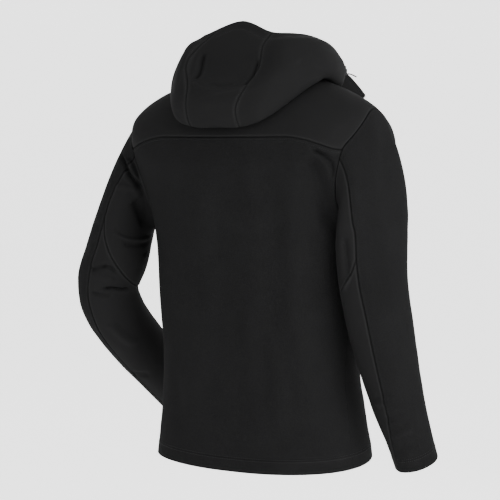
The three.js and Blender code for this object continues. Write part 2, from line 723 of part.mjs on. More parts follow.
// Slider: a plate in front of the chain, a core between the tapes' teeth and a bridge for the tab.
const sliderY = bodyPoint(180, levelAt(180, sliderHigh)).y;
const sliderPlate = { half: 4.9, foot: 3.4, high: 8, low: 8, from: 1.5, to: 3.7 };
const bridge = { wide: 2.4, bar: 1.4, clear: 3.2, top: 5, bottom: -3.5 };
const face = sliderY - sliderPlate.to;
function sliderSolid() {
  const p = sliderPlate;
  const outline = [[-p.foot, -p.low], [p.foot, -p.low], [p.half, -1], [p.half, p.high - 2],
    [p.half - 1.5, p.high], [-p.half + 1.5, p.high], [-p.half, p.high - 2], [-p.half, -1]];
  const body = plate(outline, p.to - p.from).rotateX(Math.PI / 2)
    .translate(0, sliderY - p.from, sliderHigh);
  const core = box(-2.4, 2.4, sliderY - p.from - 0.4, sliderY + 1.0, sliderHigh - 7, sliderHigh + 7);
  const b = bridge;
  const profile = [[0, b.bottom - b.bar], [b.clear, b.bottom - b.bar],
    [b.clear + b.bar, b.bottom], [b.clear + b.bar, b.top], [b.clear, b.top + b.bar], [0, b.top + b.bar]];
  const hole = [[0.6, b.bottom], [b.clear, b.bottom], [b.clear, b.top], [0.6, b.top]];
  const arch = plate(profile.map(([y, z]) => [y - 0.6, z]), b.wide, [hole.map(([y, z]) => [y, z])])
    .rotateX(Math.PI / 2).rotateZ(-Math.PI / 2)
    .translate(b.wide / 2, face, sliderHigh);
  return solidOf(body).add(solidOf(core)).add(solidOf(arch));
}

// Pull tab: its top bar lies inside the bridge and it hangs down in front.
const tab = { half: 3.5, long: 30, wall: 1.3, bar: 1.5, hole: 6.5, holeHalf: 1.9 };
const tabAxis = { y: face - 1.75, z: sliderHigh + bridge.bottom + 0.25 + tab.bar / 2 };
function tabGeometry() {
  const t = tab;
  const top = t.bar / 2;
  const outline = [[-t.half + 1, top], [-t.half, top - 1], [-t.half + 0.4, top - t.long + 2],
    [-t.half + 1.6, top - t.long], [t.half - 1.6, top - t.long], [t.half - 0.4, top - t.long + 2],
    [t.half, top - 1], [t.half - 1, top]];
  const gap = [[-t.holeHalf, -top], [t.holeHalf, -top], [t.holeHalf, -top - t.hole],
    [-t.holeHalf, -top - t.hole]];
  return plate(outline, t.wall, [gap]).rotateX(Math.PI / 2)
    .translate(0, tabAxis.y + t.wall / 2, tabAxis.z);
}

// Hood cord: a free end on each side with a press-button lock on it.
const cord = { thick: 2.4, before: 12 };
const lock = { x: 121, y: -103, z: 11, radius: 4.6, high: 17, bore: 1.52 };
const cordRun = { x: -0.05, y: -0.84, z: -0.54 };
const cordEnd = [[120.7, -111.5, 7.4], [124, -119, 6.2], [130.5, -128.5, 1.2]];
function lockGeometry(sign) {
  const r = lock.radius;
  const profile = [[0, 0], [r - 1.2, 0], [r, 1.4], [r, 10.6], [r - 1.2, 12], [r - 2, 12],
    [r - 2, lock.high - 1], [r - 2.8, lock.high], [0, lock.high]]
    .map(([x, y]) => new THREE.Vector2(x, y));
  const body = new THREE.LatheGeometry(profile, 16).rotateX(Math.PI / 2)
    .translate(0, 0, -6);
  const bore = new THREE.CylinderGeometry(lock.bore, lock.bore, 30, 12);
  const run = new THREE.Vector3(sign * cordRun.x, cordRun.y, cordRun.z).normalize();
  bore.applyQuaternion(new THREE.Quaternion().setFromUnitVectors(new THREE.Vector3(0, 1, 0), run));
  return geometryOf(solidOf(body).subtract(solidOf(bore)))
    .translate(sign * lock.x, lock.y, lock.z - leanAt(sign * lock.x, lock.z));
}

function cordGeometry(sign) {
  const run = new THREE.Vector3(sign * cordRun.x, cordRun.y, cordRun.z).normalize();
  const at = (d) => new THREE.Vector3(sign * lock.x, lock.y, lock.z).addScaledVector(run, d);
  const path = new THREE.CatmullRomCurve3([at(-cord.before), at(-4), at(4),
    ...cordEnd.map(([x, y, z]) => new THREE.Vector3(sign * x, y, z))]);
  const ring = [];
  for (let k = 0; k < 10; k++) {
    const a = (k / 10) * 2 * Math.PI;
    ring.push(new THREE.Vector2(Math.cos(a), Math.sin(a)).multiplyScalar(cord.thick / 2));
  }
  return new THREE.ExtrudeGeometry(new THREE.Shape(ring),
    { steps: 14, bevelEnabled: false, extrudePath: path })
    .translate(0, 0, -leanAt(sign * lock.x, lock.z));
}

const looks = {
  knit: { color: 0x1d1e20, roughness: 0.95, metalness: 0 },
  shell: { color: 0x232427, roughness: 0.7, metalness: 0 },
  tape: { color: 0x161616, roughness: 0.9, metalness: 0 },
  teeth: { color: 0x121212, roughness: 0.45, metalness: 0 },
  metal: { color: 0x2a2a2c, roughness: 0.35, metalness: 0.9 },
  cord: { color: 0x6a6c70, roughness: 0.8, metalness: 0 },
};

const group = new THREE.Group();
group.name = "softshell_jacket";
function addMesh(name, geometry, look) {
  const mesh = new THREE.Mesh(geometry, new THREE.MeshStandardMaterial(looks[look]));
  mesh.name = name;
  group.add(mesh);
}
for (const sheet of sheets) addMesh(sheet.name, wallGeometry(sheet), sheet.colour);

addMesh("zip_slider", geometryOf(sliderSolid()), "metal");
addMesh("zip_tab", tabGeometry(), "metal");
for (const [sideName, sign] of [["left", 1], ["right", -1]]) {
  addMesh("cord_lock_" + sideName, lockGeometry(sign), "teeth");
  addMesh("hood_cord_" + sideName, cordGeometry(sign), "cord");
}

export default group;
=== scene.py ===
import math
import bpy
import numpy as np
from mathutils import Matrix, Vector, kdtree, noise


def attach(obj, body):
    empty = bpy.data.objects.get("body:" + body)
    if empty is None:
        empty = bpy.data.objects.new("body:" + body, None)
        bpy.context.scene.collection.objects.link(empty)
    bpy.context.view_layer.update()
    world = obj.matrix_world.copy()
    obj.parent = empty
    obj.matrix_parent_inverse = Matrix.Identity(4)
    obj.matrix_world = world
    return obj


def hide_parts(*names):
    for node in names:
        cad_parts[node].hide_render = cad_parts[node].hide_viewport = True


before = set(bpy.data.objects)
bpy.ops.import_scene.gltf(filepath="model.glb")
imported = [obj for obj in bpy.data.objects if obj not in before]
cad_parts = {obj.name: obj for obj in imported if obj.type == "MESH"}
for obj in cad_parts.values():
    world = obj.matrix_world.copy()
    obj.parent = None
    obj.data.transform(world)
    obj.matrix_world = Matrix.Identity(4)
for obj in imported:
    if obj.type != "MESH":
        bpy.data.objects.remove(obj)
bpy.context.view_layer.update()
mm = 0.001  # the tables below are in millimetres, as the garment was drafted

# Hooded softshell jacket, held up as worn. Front towards -Y, wearer's left towards +X.

cameraView = {"lens": 200, "sensor": 36, "behind": 33, "distance": 5.0, "high": 0.22,
              "middle": (0.0067, 0.0044), "aim": (0.0112, 0.0074, -0.305)}


def makeCamera():
    turn = math.radians(cameraView["behind"])
    far = cameraView["distance"]
    x, y = cameraView["middle"]
    eye = Vector((-math.sin(turn) * far + x, math.cos(turn) * far + y, cameraView["high"]))
    data = bpy.data.cameras.new("camera")
    data.lens = cameraView["lens"]
    data.sensor_width = cameraView["sensor"]
    data.clip_end = 60
    camera = bpy.data.objects.new("camera", data)
    bpy.context.collection.objects.link(camera)
    camera.location = eye
    camera.rotation_euler = (Vector(cameraView["aim"]) - eye).to_track_quat("-Z", "Y").to_euler()
    bpy.context.scene.camera = camera


makeCamera()
print("camera ready")


# Small helpers

def ramp(x, start, end):
    t = np.clip((x - start) / (end - start), 0, 1)
    return t * t * (3 - 2 * t)


def mix(a, b, t):
    return a + (b - a) * t


def bump(x, width):
    return np.exp(-(x / width) ** 2)


def unit(v):
    v = np.asarray(v, float)
    return v / np.maximum(np.linalg.norm(v, axis=-1, keepdims=True), 1e-9)


# Smooth curve through rows of numbers, one row per whole t
def through(rows, t):
    last = len(rows) - 1
    i = min(max(math.floor(t), 0), last - 1)
    f = t - i
    b, c = rows[i], rows[i + 1]
    a = rows[i - 1] if i > 0 else 2 * b - c
    d = rows[i + 2] if i < last - 1 else 2 * c - b
    return b + 0.5 * f * (c - a + f * (2 * a - 5 * b + 4 * c - d + f * (3 * (b - c) + d - a)))


# Length travelled along a row of points
def travelOf(points):
    return np.concatenate([[0], np.cumsum(np.linalg.norm(np.diff(points, axis=0), axis=1))])


def placesAt(where, travel, rows):
    return np.stack([np.interp(where, travel, rows[:, k]) for k in range(3)], -1)


# Quads between rings of points that follow one another
def ringFaces(rings, around, base=0):
    faces = []
    for i in range(rings - 1):
        for k in range(around):
            a, b = base + i * around, (k + 1) % around
            faces.append((a + k, a + b, a + around + b, a + around + k))
    return faces


def makeMesh(name, points, faces, material, slot, nodes=()):
    data = bpy.data.meshes.new(name)
    data.from_pydata((np.asarray(points) * mm).tolist(), [], [list(map(int, f)) for f in faces])
    data.polygons.foreach_set("use_smooth", [True] * len(data.polygons))
    data.update()
    piece = bpy.data.objects.new(name, data)
    bpy.context.collection.objects.link(piece)
    data.materials.append(materials[material])
    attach(piece, "jacket")
    if nodes:
        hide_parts(*nodes)
    return piece


# Materials

def nodeKit(tree):
    def join(a, b):
        tree.links.new(a, b)

    # A node whose inputs are plain values or the sockets that feed them
    def add(kind, inputs=None, **values):
        node = tree.nodes.new(kind)
        for key, value in values.items():
            setattr(node, key, value)
        for key, value in (inputs or {}).items():
            if isinstance(value, bpy.types.NodeSocket):
                join(value, node.inputs[key])
            else:
                node.inputs[key].default_value = value
        return node

    def calc(operation, *inputs):
        return add("ShaderNodeMath", dict(enumerate(inputs)), operation=operation).outputs[0]
    return add, calc, join


def startGroup(name, inputs, outputs):
    group = bpy.data.node_groups.new(name, "ShaderNodeTree")
    for label, value in inputs.items():
        kind = "NodeSocketFloat" if isinstance(value, float) else "NodeSocketColor"
        socket = group.interface.new_socket(label, in_out="INPUT", socket_type=kind)
        socket.default_value = value
    for label, kind in outputs.items():
        group.interface.new_socket(label, in_out="OUTPUT", socket_type=kind)
    add, calc, join = nodeKit(group)
    return group, add("NodeGroupInput").outputs, add("NodeGroupOutput").inputs, add, calc, join


# Group: fine brushed grain of a cloth face, with paler stray fibres
def makeClothGrain():
    group, enter, leave, add, calc, join = startGroup(
        "clothGrain",
        {"Dark": (0.01, 0.01, 0.01, 1), "Pale": (0.03, 0.03, 0.03, 1),
         "Grain Size": 900.0, "Fleck": 0.5, "Cloud": 0.2},
        {"Colour": "NodeSocketColor", "Height": "NodeSocketFloat"})
    place = add("ShaderNodeTexCoord").outputs["Object"]
    fine = add("ShaderNodeTexNoise", {"Detail": 3, "Roughness": 0.7, "Vector": place,
                                      "Scale": enter["Grain Size"]})
    coarser = calc("MULTIPLY", enter["Grain Size"], 0.31)
    coarse = add("ShaderNodeTexNoise", {"Detail": 2, "Vector": place, "Scale": coarser})
    both = calc("MULTIPLY", fine.outputs["Fac"], coarse.outputs["Fac"])
    spread = add("ShaderNodeMapRange", {"From Min": 0.13, "From Max": 0.42, "Value": both})
    flecked = calc("MULTIPLY", spread.outputs[0], enter["Fleck"])
    cloud = add("ShaderNodeTexNoise", {"Scale": 14, "Detail": 3, "Vector": place})
    drift = calc("MULTIPLY_ADD", cloud.outputs["Fac"], enter["Cloud"], flecked)
    blend = add("ShaderNodeMix", {"Factor": drift, 6: enter["Dark"], 7: enter["Pale"]}, data_type="RGBA")
    join(blend.outputs[2], leave["Colour"])
    join(both, leave["Height"])
    return group


# Group: rows of tiny knitted loops laid along the cloth's own length, 1 for a loop's crown
def makeKnitLoops():
    group, enter, leave, add, calc, join = startGroup(
        "knitLoops", {"Wale": 1.5, "Course": 1.2, "Wander": 0.25}, {"Loop": "NodeSocketFloat"})
    flat = add("ShaderNodeUVMap", uv_map="cloth")
    parts = add("ShaderNodeSeparateXYZ", {0: flat.outputs[0]})
    place = add("ShaderNodeTexCoord").outputs["Object"]
    wander = add("ShaderNodeTexNoise", {"Scale": 260, "Vector": place}).outputs["Fac"]
    waves = []
    for axis, name in ((0, "Wale"), (1, "Course")):
        length = calc("MULTIPLY", parts.outputs[axis], 1000)  # the flat cloth map is in metres
        turns = calc("DIVIDE", length, enter[name])
        moved = calc("MULTIPLY_ADD", wander, enter["Wander"], turns)
        waves.append(calc("SINE", calc("MULTIPLY", moved, 2 * math.pi)))
    join(calc("MULTIPLY_ADD", calc("ADD", *waves), 0.25, 0.5), leave["Loop"])
    return group


# Group: painted shade in seam grooves and stitch dents, and a painted highlight on the raised lips beside them,
# from the distances kept on the mesh
def makeSeamShadeAndHighlight():
    group, enter, leave, add, calc, join = startGroup(
        "seamShadeAndHighlight", {"Colour": (0.01, 0.01, 0.01, 1), "Lip": 0.3, "Groove": 0.6},
        {"Colour": "NodeSocketColor"})
    amounts = [calc("MULTIPLY", add("ShaderNodeAttribute", attribute_name=kept).outputs["Fac"], enter[name])
               for kept, name in (("seamLipHighlight", "Lip"), ("seamGrooveShade", "Groove"))]
    # Painted highlight: the raised lips beside seams and stitch lines are made paler
    lipHighlight = add("ShaderNodeMix", {"Factor": amounts[0], 6: enter["Colour"], 7: (0.012, 0.012, 0.012, 1)},
                data_type="RGBA", blend_type="ADD")
    # Painted shade: seam grooves and stitch dents are made darker
    grooveShaded = add("ShaderNodeMix", {"Factor": amounts[1], 6: lipHighlight.outputs[2], 7: (0.2, 0.2, 0.2, 1)},
                 data_type="RGBA", blend_type="MULTIPLY")
    join(grooveShaded.outputs[2], leave["Colour"])
    return group


clothGrain = makeClothGrain()
knitLoops = makeKnitLoops()
seamShadeAndHighlight = makeSeamShadeAndHighlight()


def startMaterial(name, values):
    material = bpy.data.materials.new(name)
    material.use_nodes = True
    shader = material.node_tree.nodes["Principled BSDF"]
    for key, value in values.items():
        shader.inputs[key].default_value = value
    add, calc, join = nodeKit(material.node_tree)
    return material, shader.inputs, add, calc, join


def addGrain(add, look):
    return add("ShaderNodeGroup", {"Dark": (*look["dark"], 1), "Pale": (*look["pale"], 1),
                                   "Grain Size": look["grain"], "Fleck": look["fleck"],
                                   "Cloud": look["cloud"]}, node_tree=clothGrain).outputs


def makeCloth(name, look):
    material, shader, add, calc, join = startMaterial(
        name, {"Roughness": look["rough"], "Specular IOR Level": look["shine"]})
    grain = addGrain(add, look)
    # Over the grain colour: painted shade in seam grooves and a painted highlight on raised seam lips
    seamShading = add("ShaderNodeGroup", {"Colour": grain["Colour"], "Lip": look["lip"], "Groove": look["grooveShade"]},
               node_tree=seamShadeAndHighlight)
    join(seamShading.outputs["Colour"], shader["Base Color"])
    raised = 0
    if "loops" in look:
        wale, course = look["loops"]
        loops = add("ShaderNodeGroup", {"Wale": wale, "Course": course}, node_tree=knitLoops)
        raised = calc("MULTIPLY", loops.outputs["Loop"], look["loopHeight"])
    height = calc("MULTIPLY_ADD", grain["Height"], look["grainHeight"], raised)
    relief = add("ShaderNodeBump", {"Strength": look["bump"], "Distance": 0.001, "Height": height})
    join(relief.outputs["Normal"], shader["Normal"])
    return material


# lip and groove: strengths of the painted highlight on raised seam lips and of the painted shade in seam
# grooves
clothLooks = {
    "knitFleece": {"dark": (0.0046, 0.0046, 0.0047), "pale": (0.0125, 0.0126, 0.0128),
                   "grain": 1500, "fleck": 0.6, "cloud": 0.3, "lip": 0.1, "grooveShade": 0.5,
                   "loops": (1.5, 1.2), "loopHeight": 0.5, "grainHeight": 1.2, "bump": 0.5,
                   "rough": 1.0, "shine": 0.02},
    "softshell": {"dark": (0.0069, 0.0069, 0.007), "pale": (0.0102, 0.0102, 0.0104),
                  "grain": 2400, "fleck": 0.5, "cloud": 0.35, "lip": 0.3, "grooveShade": 0.5,
                  "grainHeight": 0.5, "bump": 0.25, "rough": 0.95, "shine": 0.03},
    "stitchThread": {"dark": (0.014, 0.014, 0.0142), "pale": (0.032, 0.032, 0.0324),
                     "grain": 4000, "fleck": 0.6, "cloud": 0.1, "lip": 0, "grooveShade": 0,
                     "grainHeight": 0.6, "bump": 0.4, "rough": 0.75, "shine": 0.12},
    "zipTape": {"dark": (0.006, 0.006, 0.0062), "pale": (0.014, 0.014, 0.0145),
                "grain": 1800, "fleck": 0.6, "cloud": 0.1, "lip": 0, "grooveShade": 0,
                "grainHeight": 0.8, "bump": 0.5, "rough": 0.9, "shine": 0.2},
    "cordBraid": {"dark": (0.02, 0.02, 0.021), "pale": (0.05, 0.051, 0.053),
                  "grain": 3000, "fleck": 0.7, "cloud": 0.1, "lip": 0, "grooveShade": 0,
                  "grainHeight": 0.8, "bump": 0.4, "rough": 0.8, "shine": 0.25},
}
materials = {name: makeCloth(name, look) for name, look in clothLooks.items()}


# Moulded plastic and cast metal share one maker: a fine scuff over a plain colour
def makeHardware(name, look):
    material, shader, add, calc, join = startMaterial(
        name, {"Metallic": look["metal"], "Specular IOR Level": look["shine"]})
    grain = addGrain(add, look)
    join(grain["Colour"], shader["Base Color"])
    relief = add("ShaderNodeBump", {"Strength": look["bump"], "Distance": 0.0004, "Height": grain["Height"]})
    join(relief.outputs["Normal"], shader["Normal"])
    smooth, rough = look["rough"]
    scuff = add("ShaderNodeMapRange", {"To Min": smooth, "To Max": rough, "Value": grain["Height"]})
    join(scuff.outputs[0], shader["Roughness"])
    return material


hardwareLooks = {
    "zipTeeth": {"dark": (0.007, 0.007, 0.0072), "pale": (0.012, 0.012, 0.0125), "grain": 1500,
                 "fleck": 0.5, "cloud": 0.2, "bump": 0.1, "rough": (0.35, 0.55), "metal": 0, "shine": 0.25},
    "zipMetal": {"dark": (0.03, 0.03, 0.032), "pale": (0.07, 0.07, 0.072), "grain": 1200,
                 "fleck": 0.6, "cloud": 0.2, "bump": 0.12, "rough": (0.3, 0.55), "metal": 0.9, "shine": 0.5},
    "lockPlastic": {"dark": (0.006, 0.006, 0.0062), "pale": (0.012, 0.012, 0.0125), "grain": 1600,
                    "fleck": 0.5, "cloud": 0.2, "bump": 0.1, "rough": (0.4, 0.6), "metal": 0, "shine": 0.15},
}
materials.update({name: makeHardware(name, look) for name, look in hardwareLooks.items()})
print("materials ready")


# Hood cords: a short free end on each side, through its lock

hoodCord = {
    "thick": 2.4, "before": 12, "lock": (121, -103, 11), "run": (-0.05, -0.84, -0.54),
    "end": ((120.7, -111.5, 7.4), (124, -119, 6.2), (130.5, -128.5, 1.2)),
    "braids": 8, "twist": 1.6, "relief": 0.07, "steps": 36, "around": 16,
    "lean": 10 * 121 / 235,  # the left side hangs this far lower and the right one higher
}


def cordPath(sign):
    lock = np.array(hoodCord["lock"], float) * (sign, 1, 1)
    run = unit(np.array(hoodCord["run"]) * (sign, 1, 1))
    knots = [lock + run * d for d in (-hoodCord["before"], -4, 4)]
    knots += [np.array(p, float) * (sign, 1, 1) for p in hoodCord["end"]]
    hang = np.array((0, 0, -sign * hoodCord["lean"]))
    return np.array([through(knots, t) + hang for t in np.linspace(0, len(knots) - 1, hoodCord["steps"])])


def makeCord(sign, sideName):
    path = cordPath(sign)
    steps = np.gradient(path, axis=0)
    side = unit(np.cross(steps, (0, 0, 1)))
    other = unit(np.cross(side, steps))
    around, strands, relief = hoodCord["around"], hoodCord["braids"] / 2, hoodCord["relief"]
    travel = travelOf(path)
    points = []
    for i, place in enumerate(path):
        for k in range(around):
            a = 2 * math.pi * k / around
            turned = travel[i] * hoodCord["twist"]
            braid = abs(math.sin(strands * a + turned)) * abs(math.sin(strands * a - turned))
            r = hoodCord["thick"] / 2 * (1 - relief + relief * braid)
            points.append(place + r * (math.cos(a) * side[i] + math.sin(a) * other[i]))
    faces = ringFaces(len(path), around)
    faces.append(list(range(around))[::-1])
    faces.append([(len(path) - 1) * around + k for k in range(around)])
    piece = makeMesh("hoodCord_" + sideName, points, faces, "cordBraid", "cord",
                     nodes=["hood_cord_" + sideName])


# Press-button locks, turned bodies with a sprung button on top
cordLock = {"radius": 4.6, "high": 17, "below": 6, "around": 36}


def makeLock(sign, sideName):
    r, high, around = cordLock["radius"], cordLock["high"], cordLock["around"]
    profile = [(0, 0), (r - 1.5, 0), (r - 0.6, 0.3), (r - 0.1, 1.1), (r, 2.0), (r, 4.6), (r - 0.35, 5.0),
               (r - 0.35, 5.5), (r, 5.9), (r, 10.0), (r - 0.2, 11.1), (r - 0.9, 11.9), (r - 1.5, 12),
               (r - 2, 12.05), (r - 2, high - 1.2), (r - 2.3, high - 0.4), (r - 3.0, high), (0, high)]
    at = np.array(hoodCord["lock"], float) * (sign, 1, 1) - (0, 0, sign * hoodCord["lean"])
    points = []
    for radius, up in profile:
        for k in range(around):
            a = 2 * math.pi * k / around
            points.append(at + (radius * math.cos(a), radius * math.sin(a), up - cordLock["below"]))
    makeMesh("cordLock_" + sideName, points, ringFaces(len(profile), around), "lockPlastic", "cord_lock",
             nodes=["cord_lock_" + sideName])


for sideName, sign in (("left", 1), ("right", -1)):
    makeLock(sign, sideName)
    makeCord(sign, sideName)
print("cords and locks ready")


# The worn body: back height, side height, front height, half width, depth behind, depth in front,
# squareness
bodyShape = {
    "rows": np.array([
        (0, 18, -75, 78, 65, 95, 2.1),
        (-30, -2, -100, 135, 88, 110, 2.3),
        (-60, -22, -125, 190, 105, 120, 2.6),
        (-94, -50, -150, 235, 117, 128, 2.8),
        (-118, -78, -172, 243, 122, 133, 3.0),
        (-152, -128, -198, 239, 127, 142, 2.7),
        (-212, -205, -232, 216, 125, 150, 2.4),
        (-280, -280, -288, 200, 116, 155, 2.3),
        (-400, -400, -400, 194, 110, 155, 2.3),
        (-510, -510, -508, 185, 107, 158, 2.3),
        (-600, -597, -590, 192, 99, 178, 2.3),
        (-668, -661, -648, 200, 99, 192, 2.3),
        (-694, -685, -672, 203, 99, 194, 2.3)], float),
    "openHigh": -80, "openLow": -305, "sideways": 98, "forward": 30,
    "frontGap": 3.4, "bandHigh": 25,
    # How far the left shoulder hangs below the middle, and the heights it fades over
    "lean": 10, "leanFrom": (-300, -40), "leanOut": 235,
}
hemRow = len(bodyShape["rows"]) - 1


def leanAt(x, z):
    return bodyShape["lean"] * x / bodyShape["leanOut"] * ramp(z, *bodyShape["leanFrom"])


def bodyPoint(angle, level, leaning=1):
    s, c = math.sin(math.radians(angle)), math.cos(math.radians(angle))
    zBack, zSide, zFront, half, back, front, square = through(bodyShape["rows"], level)
    r = (abs(s) ** square + abs(c) ** square) ** (-1 / square)
    z = zSide + ((zBack if c >= 0 else zFront) - zSide) * (r * c) ** 2
    apart = ramp(abs(angle), 95, 180) ** 1.5 * ramp(z, bodyShape["openLow"], bodyShape["openHigh"])
    sign = -1 if angle < 0 else 1
    x = half * r * s + sign * bodyShape["sideways"] * apart
    y = (back if c >= 0 else front) * r * c - bodyShape["forward"] * apart
    return np.array((x, y, z - leaning * leanAt(x, z)))


def levelAt(angle, z):
    low, high = 0.0, float(hemRow)
    for _ in range(28):
        middle = (low + high) / 2
        if bodyPoint(angle, middle, 0)[2] > z:
            low = middle
        else:
            high = middle
    return (low + high) / 2


# Armhole on the body: angle from the centre back, height, and where it lands on the sleeve's ring
armhole = np.array([
    (98, -53, 0), (84, -58, 14), (71, -80, 32), (61.5, -103, 53), (57.5, -118, 75), (57.5, -150, 94),
    (60, -180, 112), (65, -210, 132), (75, -240, 155), (90, -270, 180), (102, -258, 202), (111, -234, 222),
    (117, -200, 241), (119, -165, 260), (117, -130, 280), (112.5, -93, 305), (106.5, -66, 333)], float)
# Entries where the yoke's back seam, the side seam and the yoke's front seam meet it
backCross, armpit, frontCross = 4, 9, 14
sleeveBackSeam, sleeveFrontSeam = 4.5, 11.5
armholeKept = {}


def armholeAt(index):
    k = index % len(armhole)
    if k not in armholeKept:
        first = math.floor(k)
        near = armhole[[(first + d) % len(armhole) for d in (-1, 0, 1, 2)]].copy()
        near[:, 2] = near[1, 2] + (near[:, 2] - near[1, 2] + 180) % 360 - 180
        angle, z, ring = through(near, 1 + k - first)
        armholeKept[k] = (angle, levelAt(angle, z), ring, z)
    return armholeKept[k]


crossBack, crossFront = armholeAt(backCross), armholeAt(frontCross)


def edgeAngle(level):
    half = through(bodyShape["rows"], level)[3]
    return 180 - math.degrees(math.asin(bodyShape["frontGap"] / half))


yokeShape = {"backSeam": -94, "frontSeam": -140, "rows": 6, "backColumns": 9, "frontColumns": 6}
armCount = 2 * (len(armhole) - frontCross + backCross)


def yokeHalf():
    columns = []
    for j in range(yokeShape["backColumns"] + 1):
        share = j / yokeShape["backColumns"]
        angle = crossBack[0] * share
        columns.append((angle, levelAt(angle, mix(yokeShape["backSeam"], crossBack[3], ramp(share, 0.5, 1)))))
    for j in range(1, armCount + 1):
        columns.append(armholeAt(backCross - j / 2)[:2])
    edge = edgeAngle(levelAt(180, yokeShape["frontSeam"]))
    for j in range(1, yokeShape["frontColumns"] + 1):
        share = j / yokeShape["frontColumns"]
        angle = mix(crossFront[0], edge, share)
        columns.append((angle, levelAt(angle, mix(crossFront[3], yokeShape["frontSeam"], share))))
    return columns


halfYoke = yokeHalf()
wholeYoke = [(-angle, level) for angle, level in halfYoke[:0:-1]] + halfYoke
yokeSpan = halfYoke[-1][0] - crossFront[0]


def yokePoint(angle, level):
    if abs(angle) > crossFront[0]:
        share = (abs(angle) - crossFront[0]) / yokeSpan
        angle = math.copysign(mix(crossFront[0], edgeAngle(level), share), angle)
    return bodyPoint(angle, level)


grids = {"yoke": np.array([[yokePoint(angle, level * i / yokeShape["rows"]) for angle, level in wholeYoke]
                           for i in range(yokeShape["rows"] + 1)])}

sideRows = 11
bandLevel = levelAt(90, bodyPoint(90, hemRow)[2] + bodyShape["bandHigh"])


# Rows that the back and front panels share down the side: angle, level, share to the armpit,
# share below it
def sideEdge(first):
    step = 1 if first < armpit else -1
    count = abs(armpit - first) * 2
    rows = [(*armholeAt(first + step * i / 2)[:2], i / count, 0) for i in range(count + 1)]
    pit = armholeAt(armpit)[1]
    rows += [(90, mix(pit, bandLevel, i / sideRows), 1, i / sideRows) for i in range(1, sideRows + 1)]
    return rows + [(90, hemRow, 1, 2)]


def panelGrid(rows, columns, tops, middleTop, middlePit, angleOf):
    grid = []
    for i, (angle, level, share, below) in enumerate(rows):
        if i == 0:
            grid.append([bodyPoint(*top) for top in tops])
            continue
        if below == 2:
            middle = hemRow
        elif below > 0:
            middle = mix(middlePit, bandLevel, below)
        else:
            middle = mix(middleTop, middlePit, share)
        line = []
        for j, place in enumerate(columns):
            side = ramp(abs(place), 0.5, 1)
            bend = tops[j][1] - mix(middleTop, rows[0][1], side)
            here = mix(middle, level, side) + bend * (1 - min(i / 7, 1)) ** 2
            line.append(bodyPoint(angleOf(place, rows[i]), min(here, hemRow)))
        grid.append(line)
    return np.array(grid)


count = yokeShape["backColumns"]
grids["back_panel"] = panelGrid(
    sideEdge(backCross), [j / count for j in range(-count, count + 1)],
    [c for c in wholeYoke if abs(c[0]) <= crossBack[0]], halfYoke[0][1], levelAt(0, -250),
    lambda place, row: place * row[0])

frontTops = halfYoke[count + armCount:]
frontPlaces = [1 - j / yokeShape["frontColumns"] for j in range(yokeShape["frontColumns"] + 1)]
for name, sign in (("front_left", 1), ("front_right", -1)):
    grids[name] = panelGrid(
        sideEdge(frontCross), frontPlaces[::sign], [(sign * a, level) for a, level in frontTops][::sign],
        halfYoke[-1][1], levelAt(180, -262),
        lambda place, row, sign=sign: sign * mix(edgeAngle(max(row[1], halfYoke[-1][1])), row[0], place))

# Stand collar: neck angle, then sideways, depth and height of its top line
collarShape = {"top": np.array([
    (0, 0, 42, 60), (45, 52, 32, 66), (90, 74, -8, 71), (120, 88, -50, 53),
    (150, 108, -92, 27), (165, 122, -120, 7), (180, 136, -153, -29)], float), "rows": 4, "bulge": 2}


def collarPoint(base, angle, share):
    angles = collarShape["top"][:, 0]
    t = np.interp(abs(angle), angles, np.arange(len(angles)))
    if abs(angle) > angles[-2]:
        t = len(angles) - 2 + (abs(angle) - angles[-2]) / (angles[-1] - angles[-2])
    top = through(collarShape["top"], t)[1:] * (-1 if angle < 0 else 1, 1, 1)
    out = unit((base[0], base[1], 0))
    return mix(base, top, share) + out * collarShape["bulge"] * math.sin(math.pi * share)


neckAngles = [angle for angle, level in wholeYoke]
grids["collar"] = np.array([
    [collarPoint(base, angle, 1 - i / collarShape["rows"]) for angle, base in zip(neckAngles, grids["yoke"][0])]
    for i in range(collarShape["rows"] + 1)])
print("body grids ready")

# Sleeve rings below the armhole: sideways, depth, height, half width, half depth, tilt,
# turn behind the body
sleeveShape = {
    "right": np.array([
        (244, 6, -258, 38, 74, 38, 22), (246, 6, -330, 45, 69, 12, 20), (253, 0, -400, 53, 63, 0, 15),
        (258, -14, -460, 53, 58, 0, 12), (269, -45, -566, 46, 48, 0, 8), (277, -66, -622, 41, 42, 0, 6),
        (284, -86, -678, 38, 39, 0, 5)], float),
    "left": np.array([
        (264, 26, -245, 47, 66, 42, 0), (283, 37, -318, 57, 62, 18, 0), (304, 42, -384, 55, 57, 2, 0),
        (303, 11, -446, 53, 54, 0, 0), (295, -56, -513, 49, 51, 0, 0), (288, -125, -575, 44, 45, 0, 0),
        (280, -185, -630, 39, 40, 0, 0)], float),
    # Ring place of the slanting seam behind and in front, and how late it crosses
    "slant": {"right": (1.75, 3.1, 0.7), "left": (1.3, 2.9, 0.66)},
    # Degrees that the rear seam stands out from the armhole's own ring angle, at each place
    "swing": {"right": np.array([0, 31, 30, 25, 20, 8, -12, -25], float), "left": np.zeros(8)},
    "swingAcross": 4.5,
    # How straight and how strongly the sleeve head leaves the armhole at the top
    "leave": {"right": (0.5, 0.9), "left": (0.6, 0.85)},
    "upperRows": 7, "lowerRows": 10, "lastPlace": 7, "cuffPlace": 6.45,
}


